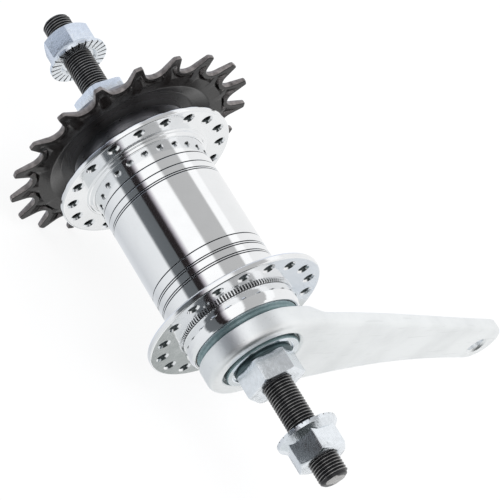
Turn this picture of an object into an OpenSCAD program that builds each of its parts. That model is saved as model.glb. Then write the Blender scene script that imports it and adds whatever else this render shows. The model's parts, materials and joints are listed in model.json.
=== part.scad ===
// Coaster brake hub for a bicycle rear wheel, built piece by piece.
// Frame in mm: the axle lies along Y, the sprocket end is +Y, the brake
// arm end is -Y, the brake arm points along +X and +Z is up. The origin
// is on the axle axis, midway between the outer faces of the two locknuts.

/* [Axle and nuts] */
// Diameter of the axle over its thread
axle_d = 9.525; // [9.3:0.025:9.8]
// Whole length of the axle
axle_len = 180; // [164:1:200]
// Length of axle that stands out beyond each axle nut
axle_past_nut = 7; // [3:0.1:12]
// Width across the flats of the axle nuts
axle_nut_flats = 15; // [14:0.5:17]
// Length of one axle nut with its flange
axle_nut_len = 10.2; // [8:0.1:13]
// Diameter of the serrated flange of the axle nuts
axle_nut_flange_d = 19.8; // [18:0.2:24]
// Width across the flats of the two locknuts
locknut_flats = 17; // [15:0.5:19]
// Thickness of the drive side locknut
drive_locknut_t = 6; // [4:0.5:8]
// Thickness of the brake side locknut
brake_locknut_t = 7.7; // [4:0.1:9]

/* [Hub shell] */
// Outside diameter of the barrel
barrel_d = 38.2; // [35:0.1:42]
// Wall of the barrel around the brake shoes
barrel_wall = 4.05; // [3.5:0.05:4.5]
// From the hub's centre to the drive side end of the barrel
drive_half = 33; // [31:0.2:37]
// From the hub's centre to the brake side end of the barrel
brake_half = 38.4; // [36:0.2:42]
// Diameter of both spoke flanges
flange_d = 59; // [54:0.5:68]
// Thickness of both spoke flanges
flange_t = 2; // [1.6:0.1:2.6]
// From the barrel's end to the outboard face of the drive side flange
drive_flange_in = 5.6; // [4:0.1:9]
// From the barrel's end to the outboard face of the brake side flange
brake_flange_in = 6.8; // [5:0.1:10]
// From the rim of the drive side flange to its circle of spoke holes
drive_hole_in = 3.55; // [2.8:0.05:4]
// From the rim of the brake side flange to its circle of spoke holes
brake_hole_in = 4.15; // [2.8:0.05:4.3]
// Number of spoke holes in each flange
spoke_holes = 18; // [12:1:20]
// Diameter of the spoke holes
spoke_hole_d = 2.7; // [2.2:0.1:3]

/* [Sprocket] */
// Number of teeth
teeth = 19; // [16:1:22]
// Pitch of the chain that runs on it
chain_pitch = 12.7; // [12.6:0.1:13]
// Diameter of the rollers of that chain
roller_d = 7.77; // [7.5:0.01:8.5]
// Thickness of the sprocket plate
sprocket_t = 2; // [1.8:0.1:3]
// From the barrel's end to the inboard face of the toothed rim
sprocket_out = 3.1; // [2.6:0.1:5]
// How far the middle is dished away from the hub
dish = 2.8; // [1.5:0.1:3.5]

/* [Brake arm] */
// Distance from the axle to the clip bolt hole
arm_hole_x = 121.2; // [100:0.1:135]
// Diameter of the clip bolt hole
arm_hole_d = 6.4; // [5:0.1:8]
// Thickness of the sheet the arm is pressed from
arm_t = 2.4; // [2:0.1:3]
// Depth of the turned edge of the arm, with the sheet
arm_edge = 4.5; // [3.5:0.1:5.6]
// Diameter of the round drum of the arm
arm_drum_d = 36; // [34:0.2:40]

/* [Bearings and mechanism] */
// Diameter of the balls of the two large bearings
big_ball_d = 6.35; // [5.5:0.05:6.6]
// Diameter of the balls between driver and drive cone
small_ball_d = 4.76; // [4:0.02:4.9]
// Number of balls in each of the three cages
balls = 10; // [7:1:10]
// Diameter of the lifting screw over its crests
screw_d = 16.4; // [14.6:0.1:17.2]
// Radial gap between the shoes and the brake bore at rest
shoe_gap = 0.33; // [0.33:0.01:0.6]

/* [Hidden] */
$fn = 96;

// fits and cutting helpers
seat = 0.02;          // pressed or seated pieces, radial
run = 0.04;           // thread bores on the axle, radial
free = 0.3;           // rims that pass each other, radial
race_play = 0.085;    // race groove around a ball
past = 1;             // how far cutting bodies run past a face
arc_steps = 8;

// axle and axle nuts, each nut measured outward from its serrated face
axle_r = axle_d / 2;
axle_shift = 1;
axle_drive_end = axle_len / 2 - axle_shift;
axle_brake_end = axle_len / 2 + axle_shift;
axle_chamfer = 1;
thread_bore = axle_r + run;
nut_back = axle_past_nut + axle_nut_len;
nut_rim_t = 1.3;
nut_cone_y = 3.2;
nut_cone_r = axle_nut_flats / 2 + 0.4;
nut_recess_r = axle_r + 1.64;
nut_recess_t = 0.9;
nut_recess_taper = 0.8;
nut_end_taper = 1.4;
nut_turn = 15.2;
nut_corner_cut = 0.9;
corner_clear = 0.1;

// barrel
barrel_r = barrel_d / 2;
bore_r = barrel_r - barrel_wall;
knurl_r = barrel_r + 0.2;
knurl_w = 1.3;
knurl_slant = 0.1;
lip_y = -brake_half;
lip_r = barrel_r - 0.6;
lip_round = 0.4;
lip_slant = 1.8;
mouth_r = barrel_r - 1.7;
drive_lip_y = drive_half;
drive_mouth_r = barrel_r - 2.3;
dust_ring_t = 0.6;
shelf = 0.6;
clutch_seat_in = 15.5;
clutch_seat_len = 12.5;
clutch_out_y = drive_lip_y - clutch_seat_in;
clutch_in_y = clutch_out_y - clutch_seat_len;
clutch_out_r = bore_r - 1.45;
neck_r = clutch_out_r - 1.2;

// spoke flanges, and the barrel's turned grooves measured from them
drive_flange_y = drive_lip_y - drive_flange_in;
brake_flange_y = brake_half - brake_flange_in;
flange_collar_r = barrel_r + 1.9;
flange_collar_t = 1.5;
flange_ease = 0.6;
collar_slant = 0.8;
drive_pcd = flange_d - 2 * drive_hole_in;
brake_pcd = flange_d - 2 * brake_hole_in;
drive_hole_turn = 18.7;
brake_hole_turn = 9;
hole_sink = 0.35;
groove_w = 0.35;
groove_t = 0.3;
drive_grooves = [9.4, 12.9, 15.3, 16];
brake_grooves = [10.7, 11.4, 13.9, 14.6, 17.7];

// large bearings
big_r = big_ball_d / 2;
big_race = big_r + race_play;
drive_pitch = drive_mouth_r - big_r - 0.225;
drive_ball_y = drive_lip_y - 3.6;
brake_pitch = mouth_r - big_r - 0.275;
brake_ball_y = lip_y + 5;
cage_play = 0.1;
cage_t = 0.8;
cage_off = 1.95;
drive_cage_in = drive_pitch + 1.1;
brake_cage_in = brake_pitch + 1.05;
cage_rim_play = 0.25;

// sprocket
sprocket_y = drive_lip_y + sprocket_out;
pitch_r = chain_pitch / 2 / sin(180 / teeth);
tip_share = 0.6;
tip_r = chain_pitch / 2 * (tip_share + 1 / tan(180 / teeth));
roller_play = 0.05;
seat_circle_r = roller_d / 2 + roller_play;
tooth_turn = 14.15;
tooth_open = 24.5;
tooth_bevel = 2.6;
tooth_bevel_t = 0.5;
bore_play = 0.06;

// driver: seat of the sprocket and its snap ring
driver_seat_r = 17.4;
driver_rim_r = driver_seat_r + 2.4;
driver_rim_back = 0.2;
driver_tail_r = driver_seat_r - 0.8;
lug_w = 5;
lug_in = driver_seat_r - 1.8;
lug_play = 0.1;
lug_slot_past = 0.3;
seat_y = sprocket_y + dish;
ring_y = seat_y + sprocket_t + seat;
ring_t = 1.4;
ring_groove_r = driver_seat_r - 1.05;
ring_out = driver_seat_r + 1.4;
ring_gap_w = 9;
ring_gap_turn = 30;
ring_land = 0.6;
ring_taper = 1.4;
driver_tail_len = 6.48;
driver_out_y = ring_y + ring_t + driver_tail_len;
tooth_band = 8.6;
dish_out_r = pitch_r - tooth_band;
dish_in_r = driver_rim_r + 3.4;
dish_slant = 1.6;

// driver: body and lifting screw
driver_bore = axle_r + 0.54;
driver_body_r = drive_mouth_r - 2;
driver_body_y = drive_lip_y - 0.2;
driver_flare_y = drive_lip_y - 5;
driver_land_r = drive_pitch - big_r - 0.325;
driver_reach = 16.5;
driver_in_y = clutch_out_y - driver_reach;
driver_neck_r = driver_land_r - 2.7;
driver_neck_w = 2.6;
screw_r = screw_d / 2;
screw_end_y = clutch_out_y + 2.5;
screw_ease = 0.6;

// small bearing between driver and drive cone
small_r = small_ball_d / 2;
small_race = small_r + race_play;
small_pitch = 9;
small_y = driver_out_y - 3.6;
driver_cup_r = small_pitch + small_r + 0.12;
driver_cap_r = driver_cup_r + 1.1;
driver_cap_y = driver_out_y - 1.2;
driver_cap_in = 0.1;
driver_floor_r = small_pitch - 2;
driver_floor_y = small_y - 1.2;
driver_throat_y = driver_floor_y - 2.6;
small_cage_y = small_y + 1.65;
small_cage_t = 0.65;
small_cage_in = small_pitch + 0.6;
small_cage_out = driver_cup_r - 0.2;

// drive cone, lock washer and locknuts
cone_r = small_pitch + 0.5;
cone_nose_r = driver_floor_r - 0.8;
cone_nose_y = small_y - 2.8;
cone_waist_r = cone_r - 2.1;
cone_flat = cone_r - 2;
cone_end_y = driver_out_y + 1.2;
washer_t = 1;
washer_r = locknut_flats / 2 + 0.1;
drive_locknut_y = cone_end_y + washer_t;
drive_end_y = drive_locknut_y + drive_locknut_t;
drive_nut_turn = 29.2;
brake_nut_turn = 40.2;
lock_corner_cut = 0.4;
lock_end_taper = 0.6;

// brake cone
cone_rim_r = mouth_r - 2;
cone_rim_y = lip_y;
cone_shoulder_y = cone_rim_y + 1.4;
cone_step_y = cone_shoulder_y + 5;
cone_neck_r = cone_rim_r - 2.8;
wedge_r0 = brake_pitch - big_r - 0.375;
wedge_r1 = wedge_r0 - 2.2;
wedge_y0 = cone_step_y + 9.5;
wedge_y1 = wedge_y0 + 6;
wedge_play = 0.1;
key_half = 1.5;
key_r = wedge_r0 + 0.2;
key_in_r = wedge_r1 - 1.7;
key_y = wedge_y1 + 2;

// arm, its dust cap and its washers
arm_seat_out = 4.4;
arm_seat_y = cone_rim_y - arm_seat_out;
arm_floor_y = arm_seat_y - arm_t;
arm_eye_deep = 2.8;
arm_face_y = arm_floor_y - arm_eye_deep;
drum_r = arm_drum_d / 2;
drum_wall = 2.4;
drum_back_y = arm_seat_y + 1.8;
drum_round = 2.4;
drum_ease = 0.4;
dished_r = 12.8;
dished_eye_r = dished_r - 2.5;
dished_floor_y = arm_floor_y - 2.3;
dished_top_y = dished_floor_y - 0.9;
dished_round = 1.2;
dished_ease = 0.3;
arm_eye_r = dished_r + free;
arm_eye_ease = 0.8;
boss_r = 8.5;
boss_flat = boss_r - 1.9;
boss_play = 0.08;
lock_washer_t = 1.8;
lock_washer_r = dished_eye_r - 0.7;
lock_washer_ease = 0.2;
brake_locknut_y = dished_floor_y - lock_washer_t;
brake_end_y = brake_locknut_y - brake_locknut_t;
dust_cap_y = cone_rim_y + 1.1;
dust_cap_r = mouth_r - 0.5;
dust_cap_t = 1;
dust_cap_foot_r = dust_cap_r - 2.1;
dust_cap_flare_r = dust_cap_r + 0.4;
dust_cap_web_y = cone_rim_y - 1.2;
dust_cap_hollow_y = drum_back_y + 1.3;
dust_cap_hollow_r = 1.6;
dust_cap_hollow_t = 0.6;

// brake shoes
travel = 2.4;
shoe_lift = 0.27;
shoe_r = bore_r - shoe_gap;
shoe_y0 = wedge_y0 - 1;
shoe_len = 17.8;
shoe_y1 = shoe_y0 + shoe_len;
shoe_in_r = wedge_r0 - 1.3;
shoe_side = 1.7;
shoe_groove_t = 0.5;
shoe_groove_w = 0.8;
shoe_grooves = [3.3, 8.3, 13.3];

// clutch cone and its retarder spring
taper = (bore_r - clutch_out_r) / (clutch_out_y - clutch_in_y);
clutch_play = 0.06;
clutch_y0 = clutch_in_y + 0.6;
clutch_y1 = clutch_out_y - 0.6;
clutch_step_y = driver_in_y - 0.6;
clutch_bore = axle_r + 0.64;
clutch_rim_y = clutch_in_y - 1.5;
clutch_reach = 9.4;
nose_y = clutch_step_y - clutch_reach;
nose_r = shoe_in_r - 0.7;
nose_len = 6;
nose_slope = 0.383;
nose_play = 0.12;
collar_r = nose_r + 3.2;
spring_groove_r = collar_r - 1.3;
spring_y0 = clutch_step_y - 2.4;
spring_play = 0.5;
spring_in_r = spring_groove_r + 0.2;
spring_t = 1;
spring_w = 1.4;
spring_ring_y = spring_y0 + spring_play;
spring_gap_w = 5.2;
spring_gap_turn = 108;
tail_r = collar_r + 0.2;
tail_end_y = shoe_y0 + 2.5;

// points along an arc from one angle to another
function arc(c, r, a0, a1) = [for (i = [0 : arc_steps])
  let (a = a0 + (a1 - a0) * i / arc_steps) c + r * [cos(a), sin(a)]];

// a turned body about the axle, drawn as radius and Y
module turned() rotate([-90, 0, 0]) rotate_extrude() children();

// a plate across the axle between two Y values, drawn in X and Z
module plate(y0, y1)
  translate([0, y1, 0]) rotate([90, 0, 0]) linear_extrude(y1 - y0) children();

// a plain round body between two Y values
module disc(r, y0, y1)
  translate([0, y1, 0]) rotate([90, 0, 0]) cylinder(h = y1 - y0, r = r);

// the groove a ring of balls runs in
module race(ring_r, y, r)
  rotate([-90, 0, 0]) rotate_extrude() translate([ring_r, y]) circle(r);

// copies evenly spread about the axle
module spread(n, turn)
  for (i = [0 : n - 1]) rotate([0, -(turn + i * 360 / n), 0]) children();

// a hexagon in X and Z
module hexagon(flats, turn) rotate(turn) circle(r = flats / sqrt(3), $fn = 6);

module ring_of_balls(n, ring_r, y, r)
  spread(n, 0) translate([ring_r, y, 0]) sphere(r);

// one axle nut with its serrated face at Y = 0, growing to +Y
module axle_nut() {
  corner = axle_nut_flats / sqrt(3);
  difference() {
    union() {
      turned() polygon([[0, 0], [axle_nut_flange_d / 2, 0],
        [axle_nut_flange_d / 2, nut_rim_t], [nut_cone_r, nut_cone_y],
        [0, nut_cone_y]]);
      intersection() {
        plate(nut_rim_t, axle_nut_len) hexagon(axle_nut_flats, nut_turn);
        turned() polygon([[0, nut_rim_t], [corner + corner_clear, nut_rim_t],
          [corner + corner_clear, axle_nut_len - nut_corner_cut],
          [corner - nut_end_taper, axle_nut_len], [0, axle_nut_len]]);
      }
    }
    disc(thread_bore, -past, axle_nut_len + past);
    turned() polygon([[0, -past], [nut_recess_r, -past], [nut_recess_r, 0],
      [nut_recess_r - nut_recess_taper, nut_recess_t], [0, nut_recess_t]]);
  }
}

module locknut(y0, y1, turn) {
  corner = locknut_flats / sqrt(3);
  difference() {
    intersection() {
      plate(y0, y1) hexagon(locknut_flats, turn);
      turned() polygon([[0, y0], [corner - lock_end_taper, y0],
        [corner + corner_clear, y0 + lock_corner_cut],
        [corner + corner_clear, y1 - lock_corner_cut],
        [corner - lock_end_taper, y1], [0, y1]]);
    }
    disc(thread_bore, y0 - past, y1 + past);
  }
}

module axle() color([0.12, 0.12, 0.12])
  turned() polygon([[0, -axle_brake_end],
    [axle_r - axle_chamfer, -axle_brake_end],
    [axle_r, -axle_brake_end + axle_chamfer],
    [axle_r, axle_drive_end - axle_chamfer],
    [axle_r - axle_chamfer, axle_drive_end], [0, axle_drive_end]]);

module drive_axle_nut() color([0.75, 0.8, 0.88])
  translate([0, axle_drive_end - nut_back, 0]) axle_nut();

module brake_axle_nut() color([0.75, 0.8, 0.88])
  translate([0, nut_back - axle_brake_end, 0]) mirror([0, 1, 0]) axle_nut();

module drive_locknut() color([0.78, 0.8, 0.84])
  locknut(drive_locknut_y, drive_end_y, drive_nut_turn);

module brake_locknut() color([0.78, 0.8, 0.84])
  locknut(brake_end_y, brake_locknut_y, brake_nut_turn);

module drive_lock_washer() color([0.5, 0.5, 0.52])
  difference() {
    disc(washer_r, cone_end_y, drive_locknut_y);
    disc(thread_bore, cone_end_y - past, drive_locknut_y + past);
  }

module drive_cone() color([0.45, 0.45, 0.47])
  difference() {
    turned() polygon([[thread_bore, cone_nose_y], [cone_nose_r, cone_nose_y],
      [cone_waist_r, small_y], [cone_r, small_y + small_r],
      [cone_r, cone_end_y], [thread_bore, cone_end_y]]);
    race(small_pitch, small_y, small_race);
    for (side = [0, 180]) rotate([0, side, 0])
      translate([cone_flat, driver_out_y + driver_cap_in, -cone_r])
        cube([cone_r, cone_end_y - driver_out_y + past, cone_r * 2]);
  }

module small_ball_cage() color([0.7, 0.6, 0.35])
  difference() {
    turned() polygon([[small_cage_in, small_cage_y],
      [small_cage_out, small_cage_y],
      [small_cage_out, small_cage_y + small_cage_t],
      [small_cage_in, small_cage_y + small_cage_t]]);
    ring_of_balls(balls, small_pitch, small_y, small_r + cage_play);
  }

module small_balls() color([0.85, 0.85, 0.87])
  ring_of_balls(balls, small_pitch, small_y, small_r);

module driver_dust_cap() color([0.6, 0.6, 0.62])
  turned() polygon([[cone_r + free, driver_cap_y],
    [driver_cap_r - seat, driver_cap_y],
    [driver_cap_r - seat, driver_out_y - driver_cap_in],
    [cone_r + free, driver_out_y - driver_cap_in]]);

module driver() color([0.3, 0.3, 0.32])
  difference() {
    turned() polygon([[driver_bore, driver_in_y],
      [screw_r - screw_ease, driver_in_y],
      [screw_r, driver_in_y + screw_ease],
      [screw_r, screw_end_y], [driver_neck_r, screw_end_y + screw_ease],
      [driver_neck_r, screw_end_y + driver_neck_w],
      [driver_land_r, screw_end_y + driver_neck_w + screw_ease],
      [driver_land_r, driver_flare_y],
      [driver_body_r, driver_body_y],
      [driver_body_r, sprocket_y + driver_rim_back],
      [driver_rim_r, sprocket_y + driver_rim_back],
      [driver_rim_r, seat_y],
      [driver_seat_r, seat_y], [driver_seat_r, ring_y - seat / 2],
      [ring_groove_r, ring_y - seat / 2],
      [ring_groove_r, ring_y + ring_t + seat],
      [driver_seat_r, ring_y + ring_t + seat],
      [driver_seat_r, ring_y + ring_t + ring_land],
      [driver_tail_r, ring_y + ring_t + ring_taper],
      [driver_tail_r, driver_out_y], [driver_cap_r, driver_out_y],
      [driver_cap_r, driver_cap_y], [driver_cup_r, driver_cap_y],
      [driver_cup_r, driver_floor_y], [driver_floor_r, driver_floor_y],
      [driver_floor_r, driver_throat_y], [driver_bore, driver_throat_y]]);
    race(drive_pitch, drive_ball_y, big_race);
    race(small_pitch, small_y, small_race);
    spread(3, 90)
      translate([lug_in - lug_play, seat_y, -lug_w / 2 - lug_play])
        cube([past * 4, ring_y + ring_t + lug_slot_past - seat_y,
          lug_w + 2 * lug_play]);
  }

// one gap between two teeth, drawn in X and Z at angle zero
module tooth_gap() {
  a = tooth_open;
  x0 = pitch_r + seat_circle_r * sin(a) * -1;
  z0 = seat_circle_r * cos(a);
  reach = tip_r + past - x0;
  translate([pitch_r, 0]) circle(seat_circle_r);
  polygon([[x0, -z0], [x0 + reach, -z0 - reach * tan(a)],
    [x0 + reach, z0 + reach * tan(a)], [x0, z0]]);
}

module sprocket() color([0.1, 0.1, 0.1])
  difference() {
    union() {
      turned() polygon([[driver_seat_r + bore_play, seat_y],
        [dish_in_r, seat_y], [dish_out_r - dish_slant, sprocket_y],
        [tip_r - tooth_bevel, sprocket_y],
        [tip_r, sprocket_y + tooth_bevel_t],
        [tip_r, sprocket_y + sprocket_t - tooth_bevel_t],
        [tip_r - tooth_bevel, sprocket_y + sprocket_t],
        [dish_out_r, sprocket_y + sprocket_t],
        [dish_in_r + dish_slant, seat_y + sprocket_t],
        [driver_seat_r + bore_play, seat_y + sprocket_t]]);
      spread(3, 90) translate([lug_in, seat_y, -lug_w / 2])
        cube([driver_seat_r + past - lug_in, sprocket_t, lug_w]);
    }
    plate(sprocket_y - past, sprocket_y + sprocket_t + past)
      for (i = [0 : teeth - 1])
        rotate(tooth_turn + (i + 0.5) * 360 / teeth) tooth_gap();
  }

module snap_ring() color([0.55, 0.55, 0.57])
  difference() {
    turned() polygon([[ring_groove_r + seat, ring_y],
      [ring_out, ring_y], [ring_out, ring_y + ring_t],
      [ring_groove_r + seat, ring_y + ring_t]]);
    rotate([0, -ring_gap_turn, 0])
      translate([ring_groove_r - past, ring_y - past, -ring_gap_w / 2])
        cube([past * 6, ring_t + 2 * past, ring_gap_w]);
  }

// a plain ring beside the balls with a pocket for each of them
module big_cage(ring_r, y, side, in_r, out_r) {
  near = y + side * cage_off;
  far = y + side * (cage_off + cage_t);
  difference() {
    turned() polygon([[in_r, near], [out_r, near], [out_r, far],
      [in_r, far]]);
    ring_of_balls(balls, ring_r, y, big_r + cage_play);
  }
}

module drive_ball_cage() color([0.7, 0.6, 0.35])
  big_cage(drive_pitch, drive_ball_y, 1, drive_cage_in,
    drive_mouth_r - cage_rim_play);

module drive_balls() color([0.85, 0.85, 0.87])
  ring_of_balls(balls, drive_pitch, drive_ball_y, big_r);

module brake_ball_cage() color([0.7, 0.6, 0.35])
  big_cage(brake_pitch, brake_ball_y, -1, brake_cage_in,
    mouth_r - cage_rim_play);

module brake_balls() color([0.85, 0.85, 0.87])
  ring_of_balls(balls, brake_pitch, brake_ball_y, big_r);

module drive_dust_ring() color([0.7, 0.7, 0.72])
  turned() polygon([[driver_body_r + free, drive_lip_y - dust_ring_t],
    [drive_mouth_r - seat, drive_lip_y - dust_ring_t],
    [drive_mouth_r - seat, drive_lip_y],
    [driver_body_r + free, drive_lip_y]]);

// a fine V groove turned into the barrel
module groove(y)
  turned() polygon([[barrel_r - groove_t, y],
    [barrel_r + past, y - groove_w], [barrel_r + past, y + groove_w]]);

module hub_barrel() color([0.85, 0.87, 0.88])
  difference() {
    turned() polygon([[mouth_r, lip_y], [lip_r - lip_round, lip_y],
      [lip_r, lip_y + lip_round], [barrel_r, lip_y + lip_slant],
      [barrel_r, -brake_flange_y - knurl_w - knurl_slant],
      [knurl_r, -brake_flange_y - knurl_w], [knurl_r, -brake_flange_y],
      [barrel_r, -brake_flange_y], [barrel_r, drive_flange_y],
      [knurl_r, drive_flange_y], [knurl_r, drive_flange_y + knurl_w],
      [barrel_r, drive_flange_y + knurl_w + knurl_slant],
      [barrel_r, drive_lip_y - lip_slant],
      [lip_r, drive_lip_y], [drive_mouth_r, drive_lip_y],
      [drive_mouth_r, drive_ball_y - shelf],
      [neck_r, drive_ball_y - shelf], [neck_r, clutch_out_y],
      [clutch_out_r, clutch_out_y], [bore_r, clutch_in_y],
      [bore_r, brake_ball_y + shelf], [mouth_r, brake_ball_y + shelf]]);
    race(drive_pitch, drive_ball_y, big_race);
    race(brake_pitch, brake_ball_y, big_race);
    for (y = drive_grooves) groove(drive_flange_y - y);
    for (y = brake_grooves) groove(y - brake_flange_y);
  }

// one spoke flange with its outboard face at Y = 0, body toward -Y
module flange(pcd, turn) {
  r = flange_d / 2;
  hole_r = spoke_hole_d / 2;
  difference() {
    turned() polygon([[barrel_r + seat, 0], [r - flange_ease, 0],
      [r, -flange_ease], [r, -flange_t + flange_ease],
      [r - flange_ease, -flange_t],
      [flange_collar_r + collar_slant, -flange_t],
      [flange_collar_r, -flange_t - collar_slant],
      [barrel_r + collar_slant, -flange_t - flange_collar_t],
      [barrel_r + seat, -flange_t - flange_collar_t]]);
    spread(spoke_holes, turn) translate([pcd / 2, 0, 0]) {
      disc(hole_r, -flange_t - past, past);
      turned() polygon([[0, -hole_sink], [hole_r, -hole_sink],
        [hole_r + hole_sink + past, past], [0, past]]);
      turned() polygon([[0, -flange_t + hole_sink],
        [hole_r, -flange_t + hole_sink],
        [hole_r + hole_sink + past, -flange_t - past],
        [0, -flange_t - past]]);
    }
  }
}

module drive_flange() color([0.85, 0.87, 0.88])
  translate([0, drive_flange_y, 0]) flange(drive_pcd, drive_hole_turn);

module brake_flange() color([0.85, 0.87, 0.88])
  translate([0, -brake_flange_y, 0]) mirror([0, 1, 0])
    flange(brake_pcd, brake_hole_turn);

module clutch_cone() color([0.4, 0.4, 0.42])
  turned() polygon([[clutch_bore, nose_y], [nose_r, nose_y],
    [nose_r + nose_slope * nose_len, nose_y + nose_len],
    [collar_r, nose_y + nose_len],
    [collar_r, spring_y0], [spring_groove_r, spring_y0],
    [spring_groove_r, clutch_step_y], [collar_r, clutch_step_y],
    [collar_r, clutch_rim_y],
    [bore_r - clutch_play - taper * (clutch_y0 - clutch_in_y), clutch_y0],
    [bore_r - clutch_play - taper * (clutch_y1 - clutch_in_y), clutch_y1],
    [screw_r + clutch_play, clutch_y1],
    [screw_r + clutch_play, clutch_step_y],
    [clutch_bore, clutch_step_y]]);

module retarder_spring() color([0.5, 0.5, 0.55])
  union() {
    difference() {
      turned() translate([spring_in_r, spring_ring_y])
        square([spring_t, spring_w]);
      rotate([0, -spring_gap_turn, 0])
        translate([spring_in_r - past, spring_ring_y - past,
          -spring_gap_w / 2])
          cube([spring_t + 2 * past, spring_w + 2 * past, spring_gap_w]);
    }
    translate([-spring_w / 2, spring_ring_y, spring_in_r + spring_t / 2])
      cube([spring_w, spring_w, tail_r + spring_t / 2 - spring_in_r]);
    translate([-spring_w / 2, tail_end_y, tail_r])
      cube([spring_w, spring_ring_y + spring_w - tail_end_y, spring_t]);
  }

// one quarter shoe about the 45 degree direction
module shoe() {
  lift = nose_r - shoe_lift + nose_play;
  in_y1 = shoe_y1 - nose_y + travel;
  flat_y = nose_y - travel + (shoe_in_r - lift) / nose_slope;
  wedge = (wedge_r0 - wedge_r1) / (wedge_y1 - wedge_y0);
  difference() {
    intersection() {
      turned() polygon([[shoe_r, shoe_y1], [shoe_r, shoe_y0],
        [wedge_r1 + wedge * (wedge_y1 - shoe_y0) + wedge_play, shoe_y0],
        [shoe_in_r, wedge_y1 - (shoe_in_r - wedge_r1 - wedge_play) / wedge],
        [shoe_in_r, flat_y], [lift + nose_slope * in_y1, shoe_y1]]);
      translate([shoe_side, shoe_y0 - past, shoe_side])
        cube([bore_r, shoe_y1 - shoe_y0 + 2 * past, bore_r]);
    }
    for (y = shoe_grooves) turned()
      translate([shoe_r - shoe_groove_t, shoe_y1 - y - shoe_groove_w / 2])
        square([shoe_groove_t + past, shoe_groove_w]);
  }
}

module brake_shoe_upper_front() color([0.6, 0.45, 0.25]) shoe();

module brake_shoe_upper_rear() color([0.6, 0.45, 0.25])
  rotate([0, -90, 0]) shoe();

module brake_shoe_lower_rear() color([0.6, 0.45, 0.25])
  rotate([0, -180, 0]) shoe();

module brake_shoe_lower_front() color([0.6, 0.45, 0.25])
  rotate([0, -270, 0]) shoe();

module brake_cone() color([0.4, 0.4, 0.42])
  union() {
    difference() {
      union() {
        turned() polygon([[thread_bore, wedge_y1], [wedge_r1, wedge_y1],
          [wedge_r0, wedge_y0], [wedge_r0, cone_step_y],
          [cone_rim_r, cone_shoulder_y],
          [cone_rim_r, cone_rim_y], [cone_neck_r, cone_rim_y],
          [cone_neck_r, arm_seat_y], [thread_bore, arm_seat_y]]);
        for (side = [0, 180]) rotate([0, side, 0])
          translate([key_in_r, wedge_y0, -key_half])
            cube([key_r - key_in_r, key_y - wedge_y0, key_half * 2]);
      }
      race(brake_pitch, brake_ball_y, big_race);
    }
    difference() {
      intersection() {
        disc(boss_r, arm_floor_y + seat, arm_seat_y + past);
        translate([-boss_r, arm_floor_y - past, -boss_flat])
          cube([boss_r * 2, arm_t + 3 * past, boss_flat * 2]);
      }
      disc(thread_bore, arm_floor_y - past, arm_seat_y + 2 * past);
    }
  }

module brake_dust_cap() color([0.75, 0.78, 0.8])
  turned() difference() {
    polygon([[cone_neck_r + seat, cone_rim_y],
      [dust_cap_r - dust_cap_t, cone_rim_y],
      [dust_cap_r - dust_cap_t, dust_cap_y], [dust_cap_r, dust_cap_y],
      [dust_cap_r, dust_cap_hollow_y], [dust_cap_flare_r, drum_back_y],
      [dust_cap_foot_r, drum_back_y], [dust_cap_foot_r, dust_cap_web_y],
      [cone_neck_r + seat, dust_cap_web_y]]);
    translate([dust_cap_r + dust_cap_hollow_r - dust_cap_hollow_t,
      dust_cap_hollow_y]) circle(dust_cap_hollow_r);
  }

// a point on a cubic curve, and a run of them
function on_curve(p, t) = pow(1 - t, 3) * p[0] + 3 * t * pow(1 - t, 2) * p[1]
  + 3 * t * t * (1 - t) * p[2] + t * t * t * p[3];
function curve(p, n) = [for (i = [0 : n]) on_curve(p, i / n)];

// outline of the arm: round tip, and the control points of its two edges
arm_tip_r = 8.7;
arm_tip = [arm_hole_x + 1.3, 1];
arm_top = [[0, drum_r], [40, 18.3], [80, 12.8],
  [arm_tip[0], arm_tip[1] + arm_tip_r]];
arm_low = [[arm_tip[0], arm_tip[1] - arm_tip_r], [62, -2.8], [40, -11.5],
  [8, 1.8 - drum_r]];
arm_steps = 20;

// outline of the arm in X and Z, drawn in by a wall
module arm_outline(wall) {
  top = [for (p = curve(arm_top, arm_steps)) [p[0], p[1] - wall]];
  low = [for (p = curve(arm_low, arm_steps)) [p[0], p[1] + wall]];
  polygon(concat(top, low));
  translate(arm_tip) circle(arm_tip_r - wall);
}

module brake_arm() color([0.82, 0.84, 0.86])
  difference() {
    union() {
      turned() {
        polygon([[0, drum_back_y], [drum_r - drum_ease, drum_back_y],
          [drum_r, drum_back_y - drum_ease],
          [drum_r, arm_face_y + drum_round],
          [drum_r - drum_round, arm_face_y], [0, arm_face_y]]);
        translate([drum_r - drum_round, arm_face_y + drum_round])
          circle(drum_round);
      }
      difference() {
        plate(arm_face_y, arm_face_y + arm_edge) arm_outline(0);
        plate(arm_face_y + arm_t, arm_face_y + arm_edge + past)
          arm_outline(arm_t);
      }
    }
    turned() polygon([[0, arm_face_y - past],
      [arm_eye_r + arm_eye_ease + past, arm_face_y - past],
      [arm_eye_r, arm_face_y + arm_eye_ease],
      [arm_eye_r, arm_floor_y], [0, arm_floor_y]]);
    disc(drum_r - drum_wall, arm_seat_y, drum_back_y + past);
    intersection() {
      disc(boss_r + boss_play, arm_face_y, drum_back_y);
      translate([-boss_r - past, arm_face_y, -boss_flat - boss_play])
        cube([2 * (boss_r + past), drum_back_y - arm_face_y,
          (boss_flat + boss_play) * 2]);
    }
    translate([arm_hole_x, 0, 0])
      disc(arm_hole_d / 2, arm_face_y - past, arm_face_y + arm_edge + past);
  }

module arm_dished_washer() color([0.8, 0.8, 0.82])
  turned() polygon(concat(
    [[thread_bore, arm_floor_y], [dished_r, arm_floor_y]],
    arc([dished_r - dished_round, dished_top_y + dished_round],
      dished_round, 0, -90),
    [[dished_eye_r + dished_ease, dished_top_y],
      [dished_eye_r, dished_top_y + dished_ease],
      [dished_eye_r, dished_floor_y], [thread_bore, dished_floor_y]]));

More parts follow.
